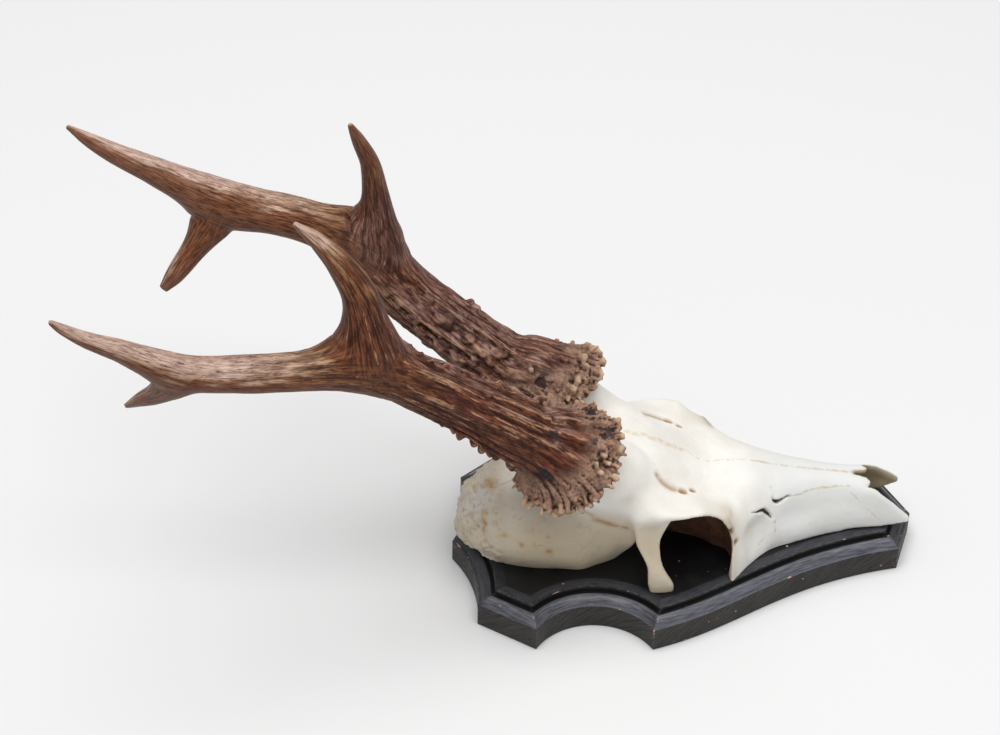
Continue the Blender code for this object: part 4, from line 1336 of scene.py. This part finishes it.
class Paint:
    """A material's node tree: layers of colour and bumps, each laid over what is there."""

    def __init__(self, name, colour=None):
        self.material = bpy.data.materials.new(name)
        self.material.use_nodes = True
        self.tree = self.material.node_tree
        self.colour = colour
        self.normal = None

    def node(self, kind, inputs, output=0, **settings):
        """A new node's output. inputs are pairs of a socket's name or number and its value."""
        node = self.tree.nodes.new(kind)
        for key, value in settings.items():
            setattr(node, key, value)
        for key, value in inputs:
            self.feed(node.inputs[key], value)
        return Value(self, node.outputs[output])

    def feed(self, socket, value):
        if isinstance(value, Value):
            self.tree.links.new(value.socket, socket)
        elif socket.type == "RGBA":
            socket.default_value = (*value, 1.0)
        else:
            socket.default_value = value

    def attribute(self, name, output="Fac"):
        return self.node("ShaderNodeAttribute", (), output, attribute_name=name)

    def attributes(self, *names):
        return [self.attribute(name) for name in names]

    def math(self, operation, *values):
        return self.node("ShaderNodeMath", enumerate(values), operation=operation)

    def noise(self, scale, detail=4.0, roughness=0.55, distortion=0.0, at=None):
        names = ("Vector", "Scale", "Detail", "Roughness", "Distortion")
        at = at or self.node("ShaderNodeTexCoord", (), "Object")
        values = (at, scale, detail, roughness, distortion)
        return self.node("ShaderNodeTexNoise", zip(names, values))

    def mix(self, share, first, second, blend="MIX"):
        inputs = ((0, share), (6, first), (7, second))
        return self.node("ShaderNodeMix", inputs, 2, data_type="RGBA", blend_type=blend)

    def fade(self, share, first, second):
        return self.node("ShaderNodeMix", ((0, share), (2, first), (3, second)), data_type="FLOAT")

    def lay(self, share, colour, blend="MIX"):
        self.colour = self.mix(share, self.colour, colour, blend)

    def bump(self, height, distance, strength):
        inputs = {"Height": height, "Distance": distance, "Strength": strength}
        if self.normal:
            inputs["Normal"] = self.normal
        self.normal = self.node("ShaderNodeBump", inputs.items())

    def finish(self, roughness, specular=0.5):
        shader = self.tree.nodes["Principled BSDF"]
        self.feed(shader.inputs["Base Color"], self.colour)
        self.feed(shader.inputs["Roughness"], roughness)
        self.feed(shader.inputs["Specular IOR Level"], specular)
        if self.normal:
            self.feed(shader.inputs["Normal"], self.normal)
        return self.material


def antler_horn():
    """Brown horn: pale crests, near-black furrows deepened with painted shade, cream burr tips and
    polished tine ends.
    """
    paint = Paint("antler_horn")
    relief, broad, tone, rim = paint.attributes("relief", "broad_relief", "tone", "rim")
    granular, crest, knob, cream = paint.attributes("granular", "crest", "knob", "cream")
    stained, line, up, on_tine = paint.attributes("stained", "line", "up", "on_tine")
    rubbed, dusted = paint.attributes("rubbed", "dusted")
    fibres = [paint.attribute(name, "Vector") for name in ("fibre", "tine_fibre")]

    def grained(stretch, *settings):
        """Noise drawn out along the horn, passing from the beam's run to the tine's at a fork."""
        both = (paint.noise(*settings, at=fibre.stretch(*stretch)) for fibre in fibres)
        return paint.fade(on_tine, *both)

    streaks = grained((1.0, 1.0, 0.8), 1.5, 5.0, 0.65, 0.3)
    dashes = grained((0.9, 0.9, 1.1), 1.0, 3.0, 0.6, 0.4)
    broad_streaks = grained((0.35, 0.35, 0.5), 1.0, 3.0, 0.5, 0.2)
    mottled = grained((0.25, 0.25, 0.9), 1.3, 4.0, 0.6, 0.5)
    patches = paint.noise(70.0, 3.0, 0.5)
    blotches = paint.noise(330.0, 4.0, 0.6)
    speckle = paint.noise(900.0, 3.0, 0.7)

    # The ground: dark low down, then red, golden and pale towards the tips.
    fine = streaks.ramp(0.34, 0.64)
    red = paint.mix(fine, (0.05, 0.014, 0.007), (0.25, 0.092, 0.04))
    golden = paint.mix(fine, (0.1, 0.034, 0.013), (0.42, 0.232, 0.11))
    pale = paint.mix(fine, (0.36, 0.215, 0.145), (0.74, 0.55, 0.44))
    drift = tone + broad_streaks.ramp(0.3, 0.7, -0.1, 0.08) + patches.ramp(0.35, 0.65, -0.06, 0.05)
    paint.colour = paint.mix(fine, (0.026, 0.007, 0.005), (0.215, 0.07, 0.034))
    paint.lay(patches.ramp(0.48, 0.75, 0.0, 0.35), (0.17, 0.07, 0.048))
    paint.lay(tone.ramp(0.3, 0.46), red)
    paint.lay(drift.ramp(0.42, 0.58), golden)
    paint.lay(drift.ramp(0.58, 0.8), pale)
    # Dust with a painted sheen on the lower beam's upper face, a painted pink sheen on the upper beam's
    # and tines' faces towards the light, and short dark flecks.
    dust = paint.mix(streaks.ramp(0.38, 0.62), (0.15, 0.072, 0.056), (0.48, 0.32, 0.28))
    paint.lay(dusted.ramp(0.1, 0.9) * patches.ramp(0.32, 0.68, 0.15, 0.8) * tone.ramp(0.52, 0.32), dust)
    pink = paint.mix(fine, (0.3, 0.18, 0.14), (0.68, 0.5, 0.43))
    lit = rubbed.ramp(0.45, 0.9, 0.0, 0.85) * tone.ramp(0.5, 0.74)
    paint.lay(lit * on_tine.ramp(0.0, 1.0, 1.0, 0.35), pink)
    paint.lay(dashes.ramp(0.55, 0.66, 0.0, 0.75) * tone.ramp(1.0, 0.8), (0.09, 0.034, 0.02))
    # Rubbed crests, and dark between them.
    ridge = (crest + streaks.ramp(0.25, 0.75, -0.12, 0.12)).ramp(0.92, 1.05, 0.0, 0.75)
    thin = (line + streaks.ramp(0.25, 0.75, -0.15, 0.15)).ramp(0.86, 1.02, 0.0, 0.85)
    paint.lay(paint.math("MAXIMUM", ridge, thin * tone.ramp(0.66, 0.5)), (0.48, 0.295, 0.175))
    valley = (crest + broad_streaks.ramp(0.25, 0.75, -0.12, 0.12)).ramp(0.2, 0.0, 0.0, 0.7)
    paint.lay(valley * tone.ramp(0.75, 0.5), (0.028, 0.008, 0.006))
    # The burr's grit and grime.
    grit = paint.mix(speckle.ramp(0.25, 0.75), (0.26, 0.142, 0.092), (0.5, 0.33, 0.24))
    paint.lay(granular * 0.75, grit)
    paint.lay(granular * blotches.ramp(0.52, 0.66, 0.0, 0.7), (0.085, 0.04, 0.03))
    # Pale where it stands out, and dark where it lies deep: the horn's own darker furrows with painted
    # shade laid over them, and painted shade in the broad hollows.
    raised = relief + speckle.ramp(0.3, 0.7, -0.03, 0.03)
    paint.lay(raised.ramp(0.06, 0.28, 0.0, 0.5), (0.37, 0.205, 0.125))
    paint.lay(relief.ramp(-0.015, -0.13, 0.0, 0.85), (0.018, 0.006, 0.005))
    paint.lay(knob.ramp(0.45, 1.0, 0.0, 0.5), (0.42, 0.26, 0.18))
    paint.lay(broad.ramp(-0.35, -1.2, 0.0, 0.8), (0.014, 0.006, 0.005))
    # Stains, mottling, and painted shade on the flanks and undersides.
    bluish = stained + blotches.ramp(0.35, 0.65, -0.45, 0.3)
    paint.lay(bluish.ramp(0.5, 0.68, 0.0, 0.85), (0.045, 0.036, 0.042))
    paint.lay(mottled.ramp(0.48, 0.66, 0.0, 0.6), (0.44, 0.34, 0.31), "MULTIPLY")
    # Painted shade: redder and darker on the side turned away from the light.
    lower = rubbed + broad_streaks.ramp(0.3, 0.7, -0.22, 0.22)
    paint.lay(lower.ramp(0.74, 0.3, 0.0, 0.92) * tone.ramp(0.45, 0.6), red)
    # Painted shade on faces turned downwards.
    paint.lay(up.ramp(0.3, -0.7, 0.0, 0.8), (0.52, 0.44, 0.4), "MULTIPLY")
    # The tips of the burr's ribs and its cream lumps.
    tips = rim * relief.ramp(-0.02, 0.16, 0.1, 1.0) * patches.ramp(0.4, 0.58, 0.15, 0.85)
    paint.lay(tips, (0.56, 0.37, 0.24))
    paint.lay(cream.ramp(0.25, 0.85, 0.0, 0.85), (0.66, 0.48, 0.33))
    paint.bump(streaks, 0.0005, tone.ramp(0.3, 1.0, 0.9, 0.3))
    paint.bump(speckle, 0.00025, granular.ramp(0.0, 1.0, 0.2, 1.0))
    return paint.finish(tone.ramp(0.3, 0.9, 0.46, 0.3) + granular * 0.2, 0.14)


def skull_bone():
    """Bleached bone: ivory with yellow-brown stains in its seams, and warmer grey behind."""
    paint = Paint("skull_bone")
    suture, stain, socket, slit = paint.attributes("suture", "stain", "socket", "slit")
    relief, rear, seam, inside = paint.attributes("relief", "rear", "seam", "inside")
    low, before, braincase = paint.attributes("low", "before", "braincase")
    cloud = paint.noise(45.0, 5.0, 0.6)
    speckle = paint.noise(260.0, 4.0, 0.65)
    wobble = paint.noise(420.0, 2.0)

    paint.colour = paint.mix(cloud.ramp(0.35, 0.7), (0.8, 0.768, 0.7), (0.885, 0.868, 0.825))
    paint.lay(before * 0.6, (0.7, 0.715, 0.72))
    paint.lay(rear * 0.8, (0.545, 0.48, 0.375))
    paint.lay(rear.ramp(1.2, 1.9) * cloud.ramp(0.42, 0.58, 0.0, 0.8), (0.52, 0.51, 0.48))
    # Yellow-brown staining with painted shade, low on the bars and round the eye sockets.
    aged_and_shaded = low * cloud.ramp(0.2, 0.8, 0.6, 1.2)
    paint.lay(aged_and_shaded.ramp(0.0, 1.0, 0.0, 0.85), (0.52, 0.425, 0.29))
    # Painted shade on the snout's inner faces.
    paint.lay(inside, (0.38, 0.31, 0.19))
    paint.lay(speckle.ramp(0.52, 0.75) * rear * 0.5, (0.38, 0.26, 0.14))
    paint.lay(relief.ramp(-0.03, -0.3, 0.0, 0.6), (0.45, 0.33, 0.18))
    line = (suture + wobble.ramp(0.2, 0.8, -0.35, 0.35)).ramp(0.6, 0.12)
    line = line * speckle.ramp(0.35, 0.6, 0.3, 0.85)
    paint.lay(line * 0.75, (0.56, 0.43, 0.26))
    paint.lay(seam.ramp(2.0, 0.9) * wobble.ramp(0.4, 0.6, 0.15, 0.55), (0.66, 0.52, 0.33))
    wander = paint.math("ABSOLUTE", paint.noise(30.0, 4.0, 0.6, 0.4) - 0.5)
    vein = wander.ramp(0.016, 0.0, 0.0, 0.55) * cloud.ramp(0.42, 0.6) * braincase
    paint.lay(vein, (0.39, 0.26, 0.13))
    paint.lay(stain * speckle.ramp(0.25, 0.6, 0.6, 1.25), (0.37, 0.195, 0.06))
    # Painted shade inside the eye sockets.
    brown = paint.mix(speckle.ramp(0.3, 0.7), (0.075, 0.032, 0.018), (0.15, 0.075, 0.045))
    paint.lay(socket, brown)
    # Painted shade in the open slits beside the nose bones.
    dark = slit + wobble.ramp(0.2, 0.8, -0.25, 0.25)
    paint.lay(dark.ramp(0.25, -0.25), (0.085, 0.072, 0.048))
    paint.bump(speckle * 0.5 - line, 0.0003, 0.7)
    paint.bump(cloud, 0.0012, 0.35)
    return paint.finish(cloud.ramp(0.3, 0.7, 0.46, 0.6), 0.35)


def black_paint():
    """Satin black paint with brush marks, worn through to raw pinkish wood at the edges."""
    paint = Paint("black_painted_wood")
    arris, side, moulding = paint.attributes("arris", "side", "moulding")
    course = paint.attribute("course", "Vector")
    brushed = paint.noise(1.6, 5.0, 0.6, at=course.stretch(0.09, 0.09, 1.0))
    strokes = paint.noise(1.0, 4.0, 0.65, 0.5, at=course.stretch(1.1, 1.1, 0.16))
    cloud = paint.noise(60.0, 4.0, 0.6)
    dust = paint.noise(700.0, 3.0, 0.7)
    chips = paint.noise(190.0, 3.0, 0.55)
    flecks = paint.noise(420.0, 1.0, 0.5)

    paint.colour = paint.mix(cloud.ramp(0.35, 0.7), (0.0045, 0.0045, 0.005), (0.0095, 0.0095, 0.0105))
    # A painted bluish reflection on the moulding, streaked by the brush.
    bluish = paint.mix(brushed.ramp(0.22, 0.78), (0.04, 0.041, 0.05), (0.18, 0.183, 0.215))
    paint.lay(moulding * 0.9, bluish)
    # The sides: brown brush strokes, made lighter as a painted reflection of the pale table.
    brownish = paint.mix(strokes.ramp(0.38, 0.62), (0.015, 0.014, 0.013), (0.048, 0.044, 0.039))
    paint.lay(side * 0.95, brownish)
    paint.lay(dust.ramp(0.68, 0.8, 0.0, 0.1), (0.2, 0.19, 0.18))
    # A broken painted highlight along the moulding's edges and the outline's corners.
    paint.lay(arris * dust.ramp(0.42, 0.7, 0.0, 0.55), (0.15, 0.148, 0.165))
    chip = chips.ramp(0.63, 0.65) * arris.ramp(0.45, 0.8)
    paint.lay(paint.math("MAXIMUM", chip, flecks.ramp(0.775, 0.79)), (0.6, 0.34, 0.26))
    paint.bump(brushed, 0.0003, moulding * 0.3)
    paint.bump(strokes, 0.0006, side * 0.8)
    paint.bump(dust, 0.00008, 0.5)
    paint.bump(cloud, 0.0006, 0.25)
    return paint.finish(cloud.ramp(0.3, 0.7, 0.32, 0.44) + side * 0.15 - moulding * 0.1, 0.32)


def dress(obj, material, slot, *nodes):
    """Gives a piece its material and body, in place of these solids. The slot is not used."""
    obj.data.materials.clear()
    obj.data.materials.append(material)
    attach(obj, "root")
    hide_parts(*nodes)


# ---- the picture ----

CAMERA_PLACE = (-0.18713, -0.90564, 0.91457)
CAMERA_PITCH = 41.45
CAMERA_YAW = 6.68
CAMERA_ROLL = -1.28
CAMERA_LENS = 107.2
SENSOR_WIDTH = 36.0
FLOOR_SIZE = 3.0
FLOOR_DROP = 0.0002
ROOM_LIGHT = 0.38
LAMP_PLACE = (-0.1, -0.25, 2.4)
LAMP_TARGET = (-0.05, 0.0, 0.0)
LAMP_SIZE = 2.0
LAMP_POWER = 56.0


def add_camera():
    """The photograph's viewing angle, looking down across the mount from its right side."""
    pitch, yaw, roll = (math.radians(a) for a in (CAMERA_PITCH, CAMERA_YAW, CAMERA_ROLL))
    level = Vector((math.sin(yaw), math.cos(yaw), 0))
    forwards = level * math.cos(pitch) - Vector((0, 0, math.sin(pitch)))
    right = Vector((math.cos(yaw), -math.sin(yaw), 0))
    down = forwards.cross(right)
    rolled_right = right * math.cos(roll) + down * math.sin(roll)
    rolled_down = down * math.cos(roll) - right * math.sin(roll)
    camera = link("camera", bpy.data.cameras.new("camera"))
    camera.data.lens = CAMERA_LENS
    camera.data.sensor_width = SENSOR_WIDTH
    camera.data.sensor_fit = "HORIZONTAL"
    camera.data.clip_start = 0.01
    turn = Matrix((rolled_right, -rolled_down, -forwards)).transposed().to_4x4()
    camera.matrix_world = Matrix.Translation(CAMERA_PLACE) @ turn
    bpy.context.scene.camera = camera


def add_floor():
    """The table: a plain pale plane just under the board."""
    bm = bmesh.new()
    bmesh.ops.create_grid(bm, x_segments=2, y_segments=2, size=FLOOR_SIZE)
    floor = link("floor", bpy.data.meshes.new("floor"))
    bm.to_mesh(floor.data)
    bm.free()
    floor.location.z = -FLOOR_DROP
    floor.data.materials.append(Paint("white_table", (0.8, 0.8, 0.8)).finish(0.75))


def add_lights():
    """A wide soft light overhead in a dim pale room."""
    world = bpy.data.worlds.new("room")
    world.use_nodes = True
    background = world.node_tree.nodes["Background"].inputs
    background["Color"].default_value = (1.0, 1.0, 1.0, 1.0)
    background["Strength"].default_value = ROOM_LIGHT
    bpy.context.scene.world = world
    lamp = link("overhead", bpy.data.lights.new("overhead", "AREA"))
    lamp.data.shape = "SQUARE"
    lamp.data.size = LAMP_SIZE
    lamp.data.energy = LAMP_POWER
    lamp.location = LAMP_PLACE
    way = Vector(LAMP_TARGET) - Vector(LAMP_PLACE)
    lamp.rotation_euler = way.to_track_quat("-Z", "Y").to_euler()


def main():
    bpy.context.scene.view_settings.view_transform = "Standard"
    horn = antler_horn()
    parts = ("beam", "front_tine", "upper_beam", "rear_tine")
    right = RIGHT_LIMBS, RIGHT_BURR, RIGHT_LUMPS, RIGHT_STAINS, RIGHT_PEARLS, RIGHT_SEED
    left = LEFT_LIMBS, LEFT_BURR, LEFT_LUMPS, LEFT_STAINS, LEFT_PEARLS, LEFT_SEED
    for name, side, tables in (("right", -1, right), ("left", 1, left)):
        antler = build_antler(f"{name}_antler", side, *tables)
        dress(antler, horn, "antler", *(f"{name}_antler_{part}" for part in parts))
    dress(build_skull(), skull_bone(), "skull_bone", "skull")
    dress(build_shield(), black_paint(), "shield_wood", "shield")
    add_camera()
    add_floor()
    add_lights()


main()
